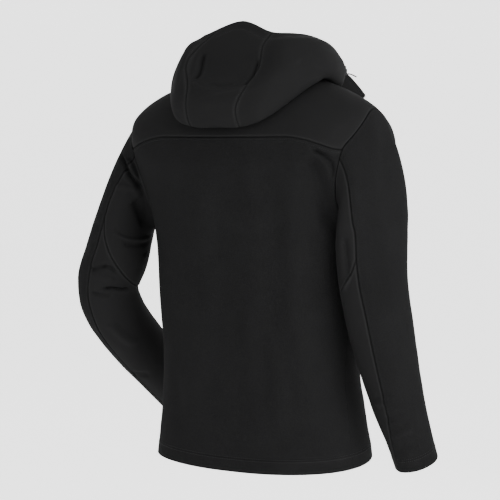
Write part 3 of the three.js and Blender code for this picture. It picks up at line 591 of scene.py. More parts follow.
def ringPoint(rings, sign, t, angle):
    def centre(at):
        return through(rings, at)[:3] * (sign, 1, 1)
    tangent = unit(centre(t + 0.35) - centre(t - 0.35))
    lateral = np.array((sign, 0, 0), float)
    lateral = unit(lateral - tangent * lateral.dot(tangent))
    rear = unit(np.cross(tangent, lateral))
    rear = -rear if rear[1] < 0 else rear
    wide, deep, tilt, turn = through(rings, t)[3:]
    c, s = math.cos(math.radians(turn)), math.sin(math.radians(turn))
    lateral, rear = lateral * c + rear * s, rear * c - lateral * s
    c, s = math.cos(math.radians(angle)), math.sin(math.radians(angle))
    return centre(t) + lateral * wide * c + rear * deep * s - tangent * tilt * c


def swungBy(sideName, index, place):
    beside = abs((index - sleeveBackSeam + len(armhole) / 2) % len(armhole) - len(armhole) / 2)
    share = min(1, beside / sleeveShape["swingAcross"])
    return through(sleeveShape["swing"][sideName], place) * math.cos(math.pi / 2 * share) ** 2


def sleevePoint(sideName, sign, index, place):
    rings = sleeveShape[sideName]
    angle, level, ring, _ = armholeAt(index)
    ring -= swungBy(sideName, index, max(1, place))
    if place >= 1:
        return ringPoint(rings, sign, place - 1, ring)
    start, end = bodyPoint(sign * angle, level), ringPoint(rings, sign, 0, ring)
    reach = np.linalg.norm(end - start)
    under = ramp(-math.cos(math.radians(ring)), 0, 1)
    out, direct = unit((sign, 0, mix(-0.45, 0.3, under))), unit(end - start)
    straight, strong = sleeveShape["leave"][sideName]
    leave = unit(mix(out, direct, mix(straight, 0.1, under))) * reach * mix(strong, 1.0, under)
    arrive = unit(ringPoint(rings, sign, 0.02, ring) - end) * reach * 0.9
    t = place
    return (start * (2 * t ** 3 - 3 * t ** 2 + 1) + leave * (t ** 3 - 2 * t ** 2 + t)
            + end * (3 * t ** 2 - 2 * t ** 3) + arrive * (t ** 3 - t ** 2))


def slantAt(sideName, index):
    back, front, bend = sleeveShape["slant"][sideName]
    across = sleeveFrontSeam - sleeveBackSeam
    start = (index - sleeveBackSeam) % len(armhole)
    if start <= across:
        return mix(back, front, (start / across) ** bend)
    return mix(front, back, ((start - across) / (len(armhole) - across)) ** (1 / bend))


def sleeveGrid(sideName, sign, first, last, fromRow, toRow):
    upper, lower = sleeveShape["upperRows"], sleeveShape["lowerRows"]
    grid = []
    for i in range(fromRow, toRow + 1):
        line = []
        for j in range(round((last - first) * 2) + 1):
            slant = slantAt(sideName, first + j / 2)
            if i <= upper:
                place = slant * i / upper
            elif i < upper + lower:
                place = mix(slant, sleeveShape["cuffPlace"], (i - upper) / (lower - 1))
            else:
                place = sleeveShape["lastPlace"]
            line.append(sleevePoint(sideName, sign, first + j / 2, place))
        grid.append(line[::-1] if sign > 0 else line)
    return np.array(grid)


slantRow = sleeveShape["upperRows"]
cuffRow = slantRow + sleeveShape["lowerRows"]
for sideName, sign in (("left", 1), ("right", -1)):
    for part, first, last, fromRow, toRow in (
            ("top_", sleeveFrontSeam, sleeveBackSeam + len(armhole), 0, cuffRow),
            ("under_", sleeveBackSeam, sleeveFrontSeam, 0, slantRow),
            ("forearm_", sleeveBackSeam, sleeveFrontSeam, slantRow, cuffRow)):
        grids["sleeve_" + part + sideName] = sleeveGrid(sideName, sign, first, last, fromRow, toRow)
print("sleeve grids ready")

# Hood lines from its seam out to the rim, each with six places from the centre back to the front end
hoodShape = {
    "seamAngles": (0, 24, 52, 84, 108, 133), "seamLevel": 0.14, "seamClear": 3.1,
    "lines": [
        [(0, 101, -38), (45, 99, -37), (86, 88, -26), (124, 28, 8), (126, -46, -2), (115, -88, -18)],
        [(0, 125, -77), (52, 123, -76), (98, 111, -58), (150, 32, -1), (142, -50, -8), (121, -92, -15)],
        [(0, 141, -45), (54, 138, -42), (102, 122, -34), (158, 30, 14), (149, -52, 12), (125, -94, -3)],
        [(0, 135, -14), (56, 130, -10), (106, 104, 8), (152, 25, 36), (147, -52, 30), (126, -95, 3)],
        [(0, 88, 18), (57, 84, 22), (108, 78, 40), (140, 18, 56), (139, -50, 44), (126, -95, 9)],
        [(0, 62, 68), (65, 62, 62), (102, 54, 70), (126, 4, 72), (131, -48, 55), (125, -94, 14)],
        [(0, 30, 109), (67, 38, 88), (93, 12, 84), (106, -22, 77), (119, -54, 59), (122, -92, 20)]],
    "lean": 14, "rows": 16, "hemPlace": 6.55,
    # Place of the two panel seams on each line, neck first
    "leftSeam": np.array([1, 1.05, 1.14, 1.16, 1.17, 1.67, 1.28, 0.6]),
    "rightSeam": np.array([1, 0.95, 0.85, 0.81, 1.02, 1.1, 0.94, 1.08]),
}


def hoodNeckPoint(angle):
    place = bodyPoint(angle, hoodShape["seamLevel"], 0)
    across = bodyPoint(angle + 1, hoodShape["seamLevel"], 0) - place
    down = bodyPoint(angle, hoodShape["seamLevel"] + 0.05, 0) - place
    return place + unit(np.cross(across, down)) * hoodShape["seamClear"]


hoodLines = [np.array(line, float) for line in
             [[hoodNeckPoint(angle) for angle in hoodShape["seamAngles"]], *hoodShape["lines"]]]
hoodLines = [np.concatenate([line[1:2] * (-1, 1, 1), line]) for line in hoodLines]


def hoodPoint(place, line):
    q = abs(place)
    x, y, z = through([through(points, q + 1) for points in hoodLines], line)
    lean = hoodShape["lean"] * ramp(line, 3.5, 7) * (1 - ramp(q, 1, 4))
    across = (-1 if place < 0 else 1) * x + lean
    return np.array((across, y, z - leanAt(across, z)))


def leftSeam(line):
    return through(hoodShape["leftSeam"], line)


def rightSeam(line):
    return -through(hoodShape["rightSeam"], line)


def hoodGrid(first, last, columns):
    rows = hoodShape["rows"]
    places = [i * hoodShape["hemPlace"] / (rows - 1) for i in range(rows)] + [len(hoodLines) - 1]
    return np.array([[hoodPoint(mix(first(line), last(line), 1 - j / columns), line)
                      for j in range(columns + 1)] for line in places])


grids["hood_centre"] = hoodGrid(rightSeam, leftSeam, 10)
grids["hood_left"] = hoodGrid(leftSeam, lambda line: 5, 13)
grids["hood_right"] = hoodGrid(lambda line: -5, rightSeam, 13)
print("hood grids ready")


# Folds pressed in: points they run through, sheets they belong to, depth and half width.
# A negative depth is a valley with its sides pushed up, a positive one a ridge.
folds = [
    {"on": ["back_panel"], "deep": -10, "wide": 6.5,
     "line": [(-177, 105, -109), (-194, 97, -117), (-205, 87, -128), (-209, 78, -144), (-205, 72, -168)]},
    {"on": ["back_panel"], "deep": -11, "wide": 24,
     "line": [(-167, 109, -125), (-183, 95, -157), (-189, 75, -203), (-188, 53, -265)]},
    {"on": ["back_panel"], "deep": -4.2, "wide": 30,
     "line": [(-89, 123, -127), (-100, 120, -192), (-100, 108, -263), (-93, 102, -379), (-81, 97, -560)]},
    {"on": ["back_panel"], "deep": 4.2, "wide": 28,
     "line": [(-145, 114, -147), (-137, 94, -271), (-142, 81, -432), (-158, 65, -611)]},
    {"on": ["back_panel"], "deep": 3.4, "wide": 36,
     "line": [(39, 127, -144), (42, 113, -315), (42, 104, -533)]},
    {"on": ["back_panel"], "deep": 3.2, "wide": 20,
     "line": [(-88, 101, -433), (-102, 94, -522), (-105, 89, -639)]},
    {"on": ["back_panel"], "deep": -3, "wide": 24,
     "line": [(-18, 111, -383), (-33, 107, -508), (-19, 100, -655)]},
    {"on": ["back_panel"], "deep": -3, "wide": 22,
     "line": [(102, 100, -393), (119, 88, -523), (111, 88, -660)]},
    {"on": ["sleeve_top_left", "sleeve_under_left"], "deep": -10, "wide": 5.5,
     "line": [(260, 58, -134), (240, 78, -152), (229, 78, -172), (216, 71, -190), (211, 65, -203)]},
    {"on": ["sleeve_top_left", "sleeve_under_left"], "deep": 4.5, "wide": 5,
     "line": [(233, 77, -143), (222, 76, -162), (213, 71, -183)]},
    {"on": ["sleeve_top_left", "sleeve_under_left"], "deep": -7, "wide": 9,
     "line": [(224, 76, -139), (210, 71, -179), (208, 54, -220), (219, 22, -271)]},
    {"on": ["sleeve_top_left", "sleeve_under_left"], "deep": 2.6, "wide": 6,
     "line": [(260, 85, -196), (237, 82, -195), (217, 69, -201)]},
    {"on": ["sleeve_top_left", "sleeve_under_left"], "deep": -8, "wide": 16,
     "line": [(222, 67, -216), (221, 49, -243), (222, 28, -274)]},
    {"on": ["sleeve_under_left"], "deep": 3.6, "wide": 3.8,
     "line": [(257, 93, -277), (238, 76, -291), (229, 45, -295), (232, 0, -294)]},
    {"on": ["sleeve_under_left"], "deep": -3.6, "wide": 6,
     "line": [(242, 82, -300), (230, 55, -305), (230, 13, -304)]},
    {"on": ["sleeve_under_left"], "deep": 3.6, "wide": 4,
     "line": [(230, 34, -330), (231, 17, -323)]},
    {"on": ["sleeve_forearm_left", "sleeve_top_left"], "deep": -5.5, "wide": 5,
     "line": [(302, 100, -350), (282, 101, -344), (263, 94, -343), (250, 82, -354)]},
    {"on": ["sleeve_forearm_left", "sleeve_top_left"], "deep": 2.4, "wide": 6,
     "line": [(296, 102, -360), (275, 97, -361), (256, 83, -368)]},
    {"on": ["sleeve_forearm_left"], "deep": -9, "wide": 3.4,
     "line": [(280, 96, -385), (263, 85, -383), (252, 69, -386), (246, 50, -384)]},
    {"on": ["sleeve_forearm_left", "sleeve_top_left"], "deep": -4.4, "wide": 5,
     "line": [(302, 98, -391), (281, 93, -396), (264, 81, -395)]},
    {"on": ["sleeve_forearm_left", "sleeve_top_left"], "deep": 3.2, "wide": 12,
     "line": [(284, 70, -449), (272, 42, -477), (259, 9, -497)]},
    {"on": ["sleeve_forearm_left", "sleeve_top_left"], "deep": -2.6, "wide": 10,
     "line": [(299, -27, -556), (268, -42, -559)]},
    {"on": ["sleeve_under_right", "sleeve_forearm_right"], "deep": 3.0, "wide": 4.5,
     "line": [(-241, 72, -329), (-226, 69, -356)]},
    {"on": ["sleeve_under_right", "sleeve_forearm_right"], "deep": -4.5, "wide": 8,
     "line": [(-229, 76, -261), (-233, 74, -299), (-236, 72, -339)]},
    {"on": ["sleeve_forearm_right", "sleeve_top_right"], "deep": 3.2, "wide": 7,
     "line": [(-251, 5, -565), (-273, 10, -558), (-293, 3, -552)]},
    {"on": ["sleeve_forearm_right", "sleeve_top_right"], "deep": -3.0, "wide": 7,
     "line": [(-264, -5, -593), (-285, -4, -584), (-303, -14, -576)]},
    {"on": ["sleeve_forearm_right", "sleeve_top_right"], "deep": 2.8, "wide": 8,
     "line": [(-269, -22, -627), (-292, -19, -614), (-309, -32, -607)]},
    {"on": ["sleeve_forearm_right", "sleeve_top_right"], "deep": -2.6, "wide": 7,
     "line": [(-280, -31, -649), (-299, -34, -641), (-314, -47, -632)]},
    {"on": ["sleeve_top_right"], "deep": 1.6, "wide": 12,
     "line": [(-241, 70, -154), (-244, 69, -206), (-250, 67, -267)]},
    {"on": ["hood_centre", "hood_left"], "deep": -8, "wide": 6,
     "line": [(71, 67, 51), (72, 75, 36), (67, 92, 15), (67, 106, 6)]},
    {"on": ["hood_centre", "hood_left"], "deep": 4, "wide": 6,
     "line": [(68, 113, 2), (41, 127, -9), (6, 135, -14), (-34, 132, -10), (-55, 125, -3)]},
    {"on": ["hood_centre"], "deep": -3, "wide": 8,
     "line": [(35, 114, 0), (0, 121, -3), (-29, 114, 3)]},
    {"on": ["hood_centre", "hood_right"], "deep": -8, "wide": 6,
     "line": [(-47, 73, 45), (-49, 87, 24), (-54, 110, 8), (-48, 124, -2)]},
    {"on": ["hood_left", "hood_centre"], "deep": 2.6, "wide": 7,
     "line": [(95, 56, 67), (97, 73, 46), (91, 97, 18), (77, 127, -13)]},
    {"on": ["hood_right"], "deep": -2.6, "wide": 12,
     "line": [(-123, 66, 43), (-150, 49, 22), (-149, -13, 5)]},
]


# Cloth: every panel's coarse grid is made finer, folded, given its wall and its seams

clothShape = {
    "near": (0, 0.6, 1.3, 2.2, 3.2, 4.3, 5.2, 6.2, 7.6, 9.6),  # mesh lines beside an edge
    "apart": 1.4,  # no mesh line is closer than this to one that has to be there
    "roll": 1.3, "lip": 0.32, "dent": 0.45,  # seam roll, its raised lips, the dent that stitches pull in
    "allowance": 2.2, "bandExtra": 0.4, "bandEdge": 0.9,
    "waviness": (1.3, 85, 3.1), "ripple": (0.35, 24, 11.7), "pucker": (0.32, 9, 5.3),  # height, size, seed
    "puckerReach": 9, "foldFades": (0.15, 0.8), "stillNear": 6, "freeCalm": (0.35, 14),
}


def resample(grid, spots, corners=()):
    out = np.empty((len(spots),) + grid.shape[1:])
    cuts = [0, *sorted(corners), len(grid) - 1]
    for first, last in zip(cuts[:-1], cuts[1:]):
        part = grid[first:last + 1]
        if len(part) > 2:
            ends = 3 * part[0] - 3 * part[1] + part[2], 3 * part[-1] - 3 * part[-2] + part[-3]
        else:
            ends = 2 * part[0] - part[1], 2 * part[-1] - part[-2]
        padded = np.concatenate([[ends[0]], part, [ends[1]]])
        chosen = (spots >= first - 1e-9) & (spots <= last + 1e-9)
        local = np.clip(spots[chosen] - first, 0, len(part) - 1)
        i = np.clip(np.floor(local).astype(int), 0, len(part) - 2)
        f = (local - i).reshape(-1, *[1] * (grid.ndim - 1))
        a, b, c, d = (padded[i + k] for k in range(4))
        out[chosen] = b + 0.5 * f * (c - a + f * (2 * a - 5 * b + 4 * c - d + f * (3 * (b - c) + d - a)))
    return out


# Places of the mesh lines along one way of a grid, closer beside its first and last edge
def meshLines(grid, corners, spacing, fromEnd=()):
    steps = np.linalg.norm(np.diff(grid, axis=0), axis=2).mean(1)
    travel = np.concatenate([[0], np.cumsum(steps)])
    total = travel[-1]
    near = [d for d in clothShape["near"] if d < total * 0.45]
    a, b = near[-1], total - near[-1]
    middle = np.linspace(a, b, max(2, round((b - a) / spacing) + 1))[1:-1]
    lines = np.concatenate([near, middle, total - np.array(near)[::-1]])
    fixed = np.array([travel[k] for k in corners] + [total - d for d in fromEnd])
    if len(fixed):
        apart = clothShape["apart"]
        lines = np.array([x for x in lines if np.abs(fixed - x).min() > apart or x in (0, total)])
        lines = np.unique(np.concatenate([lines, fixed]))
    return np.interp(lines, travel, np.arange(len(travel)))


def gridNormals(points):
    return unit(np.cross(np.gradient(points, axis=1), np.gradient(points, axis=0)))


def distanceTo(line, points):
    dense = resample(line, np.linspace(0, len(line) - 1, len(line) * 4))
    tree = kdtree.KDTree(len(dense))
    for i, p in enumerate(dense):
        tree.insert(p, i)
    tree.balance()
    flat = points.reshape(-1, 3)
    return np.array([tree.find(p)[2] for p in flat]).reshape(points.shape[:-1])


def distanceAlong(line, points):
    dense = np.array([through(line, t) for t in np.linspace(0, len(line) - 1, 24)])
    best = np.full(points.shape[:-1], 1e9)
    share = np.zeros(points.shape[:-1])
    for k, (a, b) in enumerate(zip(dense[:-1], dense[1:])):
        t = np.clip(((points - a) @ (b - a)) / max((b - a) @ (b - a), 1e-9), 0, 1)
        d = np.linalg.norm(points - a - t[..., None] * (b - a), axis=-1)
        closer = d < best
        best[closer] = d[closer]
        share[closer] = ((k + t) / (len(dense) - 1))[closer]
    return best, share


def noiseField(points, kind):
    height, size, seed = clothShape[kind]
    flat = points.reshape(-1, 3) / size + seed
    return height * np.array([noise.noise(p) for p in flat.tolist()]).reshape(points.shape[:-1])


# Panels that meet at each edge; any other seam keeps still under a fold
def joinedTo(name):
    side = name.split("_")[-1]
    top, under, forearm = ("sleeve_" + part + side for part in ("top_", "under_", "forearm_"))
    return {
        top: {"start": (under, forearm), "end": (under, forearm)},
        under: {"start": (top,), "end": (top,), "bottom": (forearm,)},
        forearm: {"start": (top,), "end": (top,), "top": (under,)},
        "hood_centre": {"start": ("hood_left", "hood_right"), "end": ("hood_left", "hood_right")},
        "hood_left": {"end": ("hood_centre",)}, "hood_right": {"start": ("hood_centre",)},
    }.get(name, {})


def foldedBy(name, points, far, kinds):
    total = np.zeros(points.shape[:-1])
    joined = joinedTo(name)
    fadeIn, fadeOut = clothShape["foldFades"]
    for fold in folds:
        if name not in fold["on"]:
            continue
        d, share = distanceAlong(np.array(fold["line"], float), points)
        x = d / fold["wide"]
        reach = ramp(share, 0, fadeIn) * (1 - ramp(share, fadeOut, 1))
        for edge, (kind, *_) in kinds.items():
            if kind != "free" and not set(joined.get(edge, ())) & set(fold["on"]):
                reach = reach * (1 - bump(far[edge], clothShape["stillNear"]))
        total += fold["deep"] * reach * (1 - 0.9 * x ** 2) * bump(x, 1)
    return total + noiseField(points, "waviness") + noiseField(points, "ripple")


stitchShape = {"length": 2.7, "pitch": 3.7, "radius": 0.36, "sunk": 0.05, "buried": 0.25, "arch": 0.7}
panels = {}


def stitchesAlong(points, normals):
    travel = travelOf(points)
    number = int(travel[-1] // stitchShape["pitch"])
    if number < 1:
        return []
    middles = (np.arange(number) + 0.5) * travel[-1] / number
    half = stitchShape["length"] / 2
    ends = [placesAt(middles + d, travel, points) for d in (-half, 0, half)]
    return list(zip(*ends, unit(placesAt(middles, travel, normals))))


def makeStitches(name, stitches, slot):
    points, faces = [], []
    r, sunk, buried = (stitchShape[key] for key in ("radius", "sunk", "buried"))
    for a, m, b, n in stitches:
        side = unit(np.cross(unit(b - a), n))
        base = len(points)
        points.append(a - n * buried)
        for where, lift, size in ((mix(a, b, 0.14), 0, 0.75), (m, r * stitchShape["arch"], 1.0),
                                  (mix(a, b, 0.86), 0, 0.75)):
            centre = where + n * (lift - sunk)
            points += [centre + way * r * size for way in (side, n, -side, -n)]
        points.append(b - n * buried)
        faces += ringFaces(3, 4, base + 1)
        for k in range(4):
            after = (k + 1) % 4
            faces.append((base, base + 1 + after, base + 1 + k))
            faces.append((base + 9 + k, base + 9 + after, base + 13))
    makeMesh(name, points, faces, "stitchThread", slot)


# Line on the cloth that keeps a distance from an edge
def lineBeside(panel, edge, distance):
    field = panel["far"][edge]
    outer, normals = panel["outer"], panel["normals"]
    if edge in ("start", "end"):
        field, outer, normals = field.T, outer.swapaxes(0, 1), normals.swapaxes(0, 1)
    if edge in ("bottom", "end"):
        field, outer, normals = field[::-1], outer[::-1], normals[::-1]
    points, directions = [], []
    for j in range(field.shape[1]):
        beyond = np.nonzero(field[:, j] >= distance)[0]
        if not len(beyond) or beyond[0] == 0 or field[beyond[0] - 1, j] >= field[beyond[0], j]:
            continue
        i = beyond[0]
        t = (distance - field[i - 1, j]) / (field[i, j] - field[i - 1, j])
        points.append(mix(outer[i - 1, j], outer[i, j], t))
        directions.append(mix(normals[i - 1, j], normals[i, j], t))
    return np.array(points), np.array(directions)


# How far the outer and inner face move by seams and stitch lines, and where a painted highlight (raised lips)
# and painted shade (grooves and stitch dents) go
def seamProfile(cloth, kinds, far, wall):
    profile, inside, lip, grooveShade = (np.zeros(wall.shape) for _ in range(4))
    for edge, (kind, *stitchLines) in kinds.items():
        d = far[edge]
        if kind == "seam":
            profile -= (cloth["wall"] / 2 + 0.25) * bump(d, clothShape["roll"])
            profile += clothShape["lip"] * bump(d - 3.2, 1.8)
            # Painted shade along the seam groove and a painted highlight on the raised lip beside it
            grooveShade += bump(d, 1.6)
            lip += bump(d - 2.8, 1.6)
        if kind == "plain":
            profile -= 0.55 * bump(d, 0.8)
            # Painted shade along a plain seam
            grooveShade += 0.35 * bump(d, 1.0)
        if kind != "free":
            inside += clothShape["allowance"] * bump(d, 0.5)
        for line in stitchLines:
            profile -= cloth.get("dent", clothShape["dent"]) * bump(d - line, 0.9)
            # Painted shade in the stitch dent and a painted highlight on the cloth either side of it
            grooveShade += 0.8 * bump(d - line, 1.0)
            lip += 0.6 * bump(d - line - 1.8, 1.4) + 0.6 * bump(d - line + 1.8, 1.4)
    return np.maximum(profile, -(wall / 2 + 0.3)), inside, lip, grooveShade


# Rounded rim of a free edge: three lines of points turned from the outer face to the inner one
def turnedRim(line, inward, every, mapped, points, normals, wall):
    turned = []
    for angle in (40, 0, -40):
        c, s = math.cos(math.radians(angle)), math.sin(math.radians(angle))
        ring = []
        for k in line:
            out = unit(points[k] - points[k + inward])
            ring.append(len(every))
            every.append(points[k] + out * wall[k] / 2 * c + normals[k] * wall[k] / 2 * s)
            mapped.append(k)
        turned.append(ring)
    return turned


def wallFaces(rows, columns):
    faces, size = [], rows * columns
    for i in range(rows - 1):
        for j in range(columns - 1):
            a = i * columns + j
            b, c, d = a + 1, a + columns + 1, a + columns
            faces += [(a, b, c, d), (size + a, size + d, size + c, size + b)]
    return faces


# Flat map of a panel: travel along its rows and down its columns
def flatMap(points):
    across = np.linalg.norm(np.diff(points, axis=1), axis=2)
    down = np.linalg.norm(np.diff(points, axis=0), axis=2)
    u = np.concatenate([np.zeros((len(points), 1)), np.cumsum(across, axis=1)], axis=1)
    v = np.concatenate([np.zeros((1, points.shape[1])), np.cumsum(down, axis=0)], axis=0)
    return u, v


def makePanel(node, cloth):
    grid = grids[node]
    corners = cloth.get("corners", ())
    kinds = {edge: cloth.get(edge, ("seam",)) for edge in ("top", "bottom", "start", "end")}
    band, bandEdge = cloth.get("band", 0), clothShape["bandEdge"]
    down = meshLines(grid, (), cloth["spacing"], [band + bandEdge, band - bandEdge] if band else ())
    across = meshLines(grid.swapaxes(0, 1), corners, cloth["spacing"])
    points = resample(grid, down)
    points = resample(points.swapaxes(0, 1), across, corners).swapaxes(0, 1)
    edges = {"top": points[0], "bottom": points[-1], "start": points[:, 0], "end": points[:, -1]}
    normals = gridNormals(points)
    far = {edge: distanceTo(line, points) for edge, line in edges.items()}
    shift = foldedBy(node, points, far, kinds)
    pucker = noiseField(points, "pucker")
    calm, calmReach = clothShape["freeCalm"]
    for edge, (kind, *stitchLines) in kinds.items():
        if kind == "seam" or stitchLines:
            shift += pucker * bump(far[edge], clothShape["puckerReach"])
        if kind == "free":
            shift *= 1 - calm * bump(far[edge], calmReach)
    points = points + normals * shift[..., None]
    normals = gridNormals(points)
    wall = np.full(points.shape[:2], cloth["wall"], float)
    if band:
        wall += 2 * clothShape["bandExtra"] * (1 - ramp(far["bottom"], band - 1, band + 1))
    profile, inside, lip, grooveShade = seamProfile(cloth, kinds, far, wall)
    outer = points + normals * (wall / 2 + profile)[..., None]
    inner = points - normals * (wall / 2 + inside)[..., None]
    rows, columns = points.shape[:2]
    size = rows * columns
    every = [*outer.reshape(-1, 3), *inner.reshape(-1, 3)]
    mapped = list(range(size)) * 2
    faces = wallFaces(rows, columns)
    order = np.arange(size).reshape(rows, columns)
    rims = {"top": (order[0], columns), "bottom": (order[-1, ::-1], -columns),
            "start": (order[::-1, 0], 1), "end": (order[:, -1], -1)}
    flatPoints, flatNormals = points.reshape(-1, 3), normals.reshape(-1, 3)
    for edge, (line, inward) in rims.items():
        lines = [line, line + size]
        if kinds[edge][0] == "free":
            turned = turnedRim(line, inward, every, mapped, flatPoints, flatNormals, wall.reshape(-1))
            lines = [line, *turned, line + size]
            faces.append((line[0], size + line[0], *[ring[0] for ring in turned[::-1]]))
            faces.append((line[-1], *[ring[-1] for ring in turned], size + line[-1]))
        for first, second in zip(lines[:-1], lines[1:]):
            for k in range(len(line) - 1):
                faces.append((first[k], second[k], second[k + 1], first[k + 1]))
    words = node.split("_")
    label = words[0] + "".join(word.title() for word in words[1:]) + "Cloth"
    piece = makeMesh(label, every, faces, cloth["material"], cloth["slot"], nodes=[node])
    mapped = np.array(mapped)
    u, v = flatMap(points)
    flat = np.stack([u.reshape(-1)[mapped], -v.reshape(-1)[mapped]], -1) * mm
    loops = np.empty(len(piece.data.loops), int)
    piece.data.loops.foreach_get("vertex_index", loops)
    piece.data.uv_layers.new(name="cloth").data.foreach_set("uv", flat[loops].reshape(-1))
    # Painted highlight on seam lips and painted shade in grooves, kept per point for the seam shading group
    for name, values in (("seamLipHighlight", lip), ("seamGrooveShade", grooveShade)):
        kept = np.clip(values.reshape(-1)[mapped], 0, 1)
        kept[size:2 * size] = 0
        piece.data.attributes.new(name, "FLOAT", "POINT").data.foreach_set("value", kept.astype(np.float32))
    crossed = np.cross(points[1:, 1:] - points[:-1, :-1], points[1:, :-1] - points[:-1, 1:])
    area = float((np.linalg.norm(crossed, axis=2) / 2).sum()) * mm * mm
    wide, long = float(u.max()) * mm, float(v.max()) * mm
    panel = {"piece": piece, "outer": outer, "normals": normals, "far": far, "area": area,
             "flat": (max(wide, area / long), long)}
    panels[node] = panel
    stitches = []
    for edge, (kind, *stitchLines) in kinds.items():
        for line in stitchLines:
            where, directions = lineBeside(panel, edge, line)
            if len(where) > 2:
                stitches += stitchesAlong(where, directions)
    if stitches:
        makeStitches(label + "_stitches", stitches, cloth["slot"])


armStart = yokeShape["backColumns"]
middleColumn = len(halfYoke) - 1
yokeCorners = sorted(middleColumn + s * k for s in (-1, 1) for k in (armStart, armStart + armCount))
# spacing: distance between mesh lines in the open cloth, mm
knit = {"wall": 2.2, "material": "knitFleece", "slot": "knit_fleece", "spacing": 4.6}
shell = {"wall": 1.8, "material": "softshell", "slot": "softshell", "spacing": 4.4}
hood = {"spacing": 3.5, "bottom": ("free", 17.5), "dent": 0.8}
hem = {"bottom": ("free", 21.0, 25.4), "band": 25}
clothPanels = {
    "yoke": {**shell, "corners": yokeCorners, "start": ("free", 6.5), "end": ("free", 6.5)},
    "back_panel": {**knit, **hem, "top": ("seam", 5.2),
                   "start": ("plain",), "end": ("plain",)},
    "front_left": {**knit, **hem, "top": ("seam", 5.2),
                   "start": ("plain",), "end": ("free", 6.5)},
    "front_right": {**knit, **hem, "top": ("seam", 5.2),
                    "start": ("free", 6.5), "end": ("plain",)},
    "collar": {**shell, "corners": yokeCorners, "top": ("free", 6.0),
               "start": ("free", 6.5), "end": ("free", 6.5)},
    "hood_centre": {**shell, **hood, "spacing": 2.8, "start": ("seam", 3.3), "end": ("seam", 3.3)},
    "hood_left": {**shell, **hood, "start": ("free",), "end": ("seam", 3.3)},
    "hood_right": {**shell, **hood, "start": ("seam", 3.3), "end": ("free",)},
}
for sideName in ("left", "right"):
    clothPanels["sleeve_top_" + sideName] = {**knit, **hem}
    clothPanels["sleeve_under_" + sideName] = {**shell, "spacing": 2.8}
    clothPanels["sleeve_forearm_" + sideName] = {**shell, **hem, "spacing": 3.0}
for node, cloth in clothPanels.items():
    makePanel(node, cloth)
print("cloth ready:", sum(len(p["piece"].data.polygons) for p in panels.values()), "faces")

for node, panel in panels.items():
    min(panel["area"], panel["flat"][0] * panel["flat"][1])


# Front zip: tapes, moulded teeth, slider and pull tab

zipShape = {"tapeWall": 0.7, "tapeBehind": 2.2, "tapeFrom": -5.5, "tapeTo": 3.05, "aboveHem": 4,
            "sliderHigh": -302, "sliderClear": 11.5, "toothPitch": 2.5, "toothWide": 1.35, "toothDeep": 2.1,
            "openTooth": 2.25, "openFrom": 0.8, "closedTooth": 3.0, "closedFrom": 2.55}


# Frames down one front edge: place, direction to the middle, outward normal
def edgeFrames(sign):
    j = -1 if sign > 0 else 0
    inner = -2 if sign > 0 else 1
    parts = [grids["collar"][:-1], grids["yoke"][:-1], grids["front_left" if sign > 0 else "front_right"]]
    edge = np.concatenate([part[:, j] for part in parts])
    beside = np.concatenate([part[:, inner] for part in parts])
    edge[-1] += unit(edge[-2] - edge[-1]) * zipShape["aboveHem"]
    toward = unit(edge - beside)
    downward = unit(np.gradient(edge, axis=0))
    out = unit(np.cross(toward, downward)) * sign
    spots = np.linspace(0, len(edge) - 1, len(edge) * 12)
    edge, toward, out = (resample(rows, spots) for rows in (edge, toward, out))
    return edge, unit(toward), unit(out)


def makeTape(sideName, sign):
    edge, toward, out = edgeFrames(sign)
    edge, toward, out = edge[::3], toward[::3], out[::3]
    offsets = (zipShape["tapeFrom"], -3, -0.8, 1.2, zipShape["tapeTo"])
    points, faces = [], []
    for face in (0.5, -0.5):
        for d in offsets:
            points += list(edge + toward * d + out * (zipShape["tapeWall"] * face - zipShape["tapeBehind"]))
    n, m = len(edge), len(offsets)
    for k in range(m - 1):
        for i in range(n - 1):
            a, b, c, d = k * n + i, (k + 1) * n + i, (k + 1) * n + i + 1, k * n + i + 1
            front = (a, b, c, d) if sign > 0 else (a, d, c, b)
            faces += [front, tuple(x + m * n for x in front[::-1])]
    for k in (0, m - 1):
        for i in range(n - 1):
            a, b = k * n + i, k * n + i + 1
            faces.append((a, b, b + m * n, a + m * n))
    for i in (0, n - 1):
        for k in range(m - 1):
            a, b = k * n + i, (k + 1) * n + i
            faces.append((a, b, b + m * n, a + m * n))
    makeMesh("zipTape_" + sideName, points, faces, "zipTape", "zip_tape", nodes=["zip_tape_" + sideName])


# One moulded tooth: a tapered block with a rounded head, laid across the edge
toothRings = ((0, 0.7, 0.85), (0.25, 1.0, 1.0), (0.62, 0.8, 0.95), (0.9, 1.05, 0.85), (1.0, 0.7, 0.6))
toothCorners = ((1, 0.55), (0.55, 1), (-0.55, 1), (-1, 0.55),
                (-1, -0.55), (-0.55, -1), (0.55, -1), (1, -0.55))


def addTooth(points, faces, place, toward, downward, out, long):
    half, deep = zipShape["toothWide"] / 2, zipShape["toothDeep"] / 2
    base, around = len(points), len(toothCorners)
    for x, wide, thick in toothRings:
        centre = place + toward * long * x
        points += [centre + downward * half * wide * a + out * deep * thick * b for a, b in toothCorners]
    faces += ringFaces(len(toothRings), around, base)
    faces.append([base + k for k in range(around)][::-1])
    faces.append([len(points) - around + k for k in range(around)])


def spacedFrames(edge, toward, out, high, low, phase):
    travel = travelOf(edge)
    where = np.arange(phase, travel[-1], zipShape["toothPitch"])
    place, toward, out = (placesAt(where, travel, rows) for rows in (edge, toward, out))
    kept = (place[:, 2] < high) & (place[:, 2] > low)
    downward = unit(np.gradient(place, axis=0))
    return zip(place[kept], unit(toward)[kept], downward[kept], unit(out)[kept])


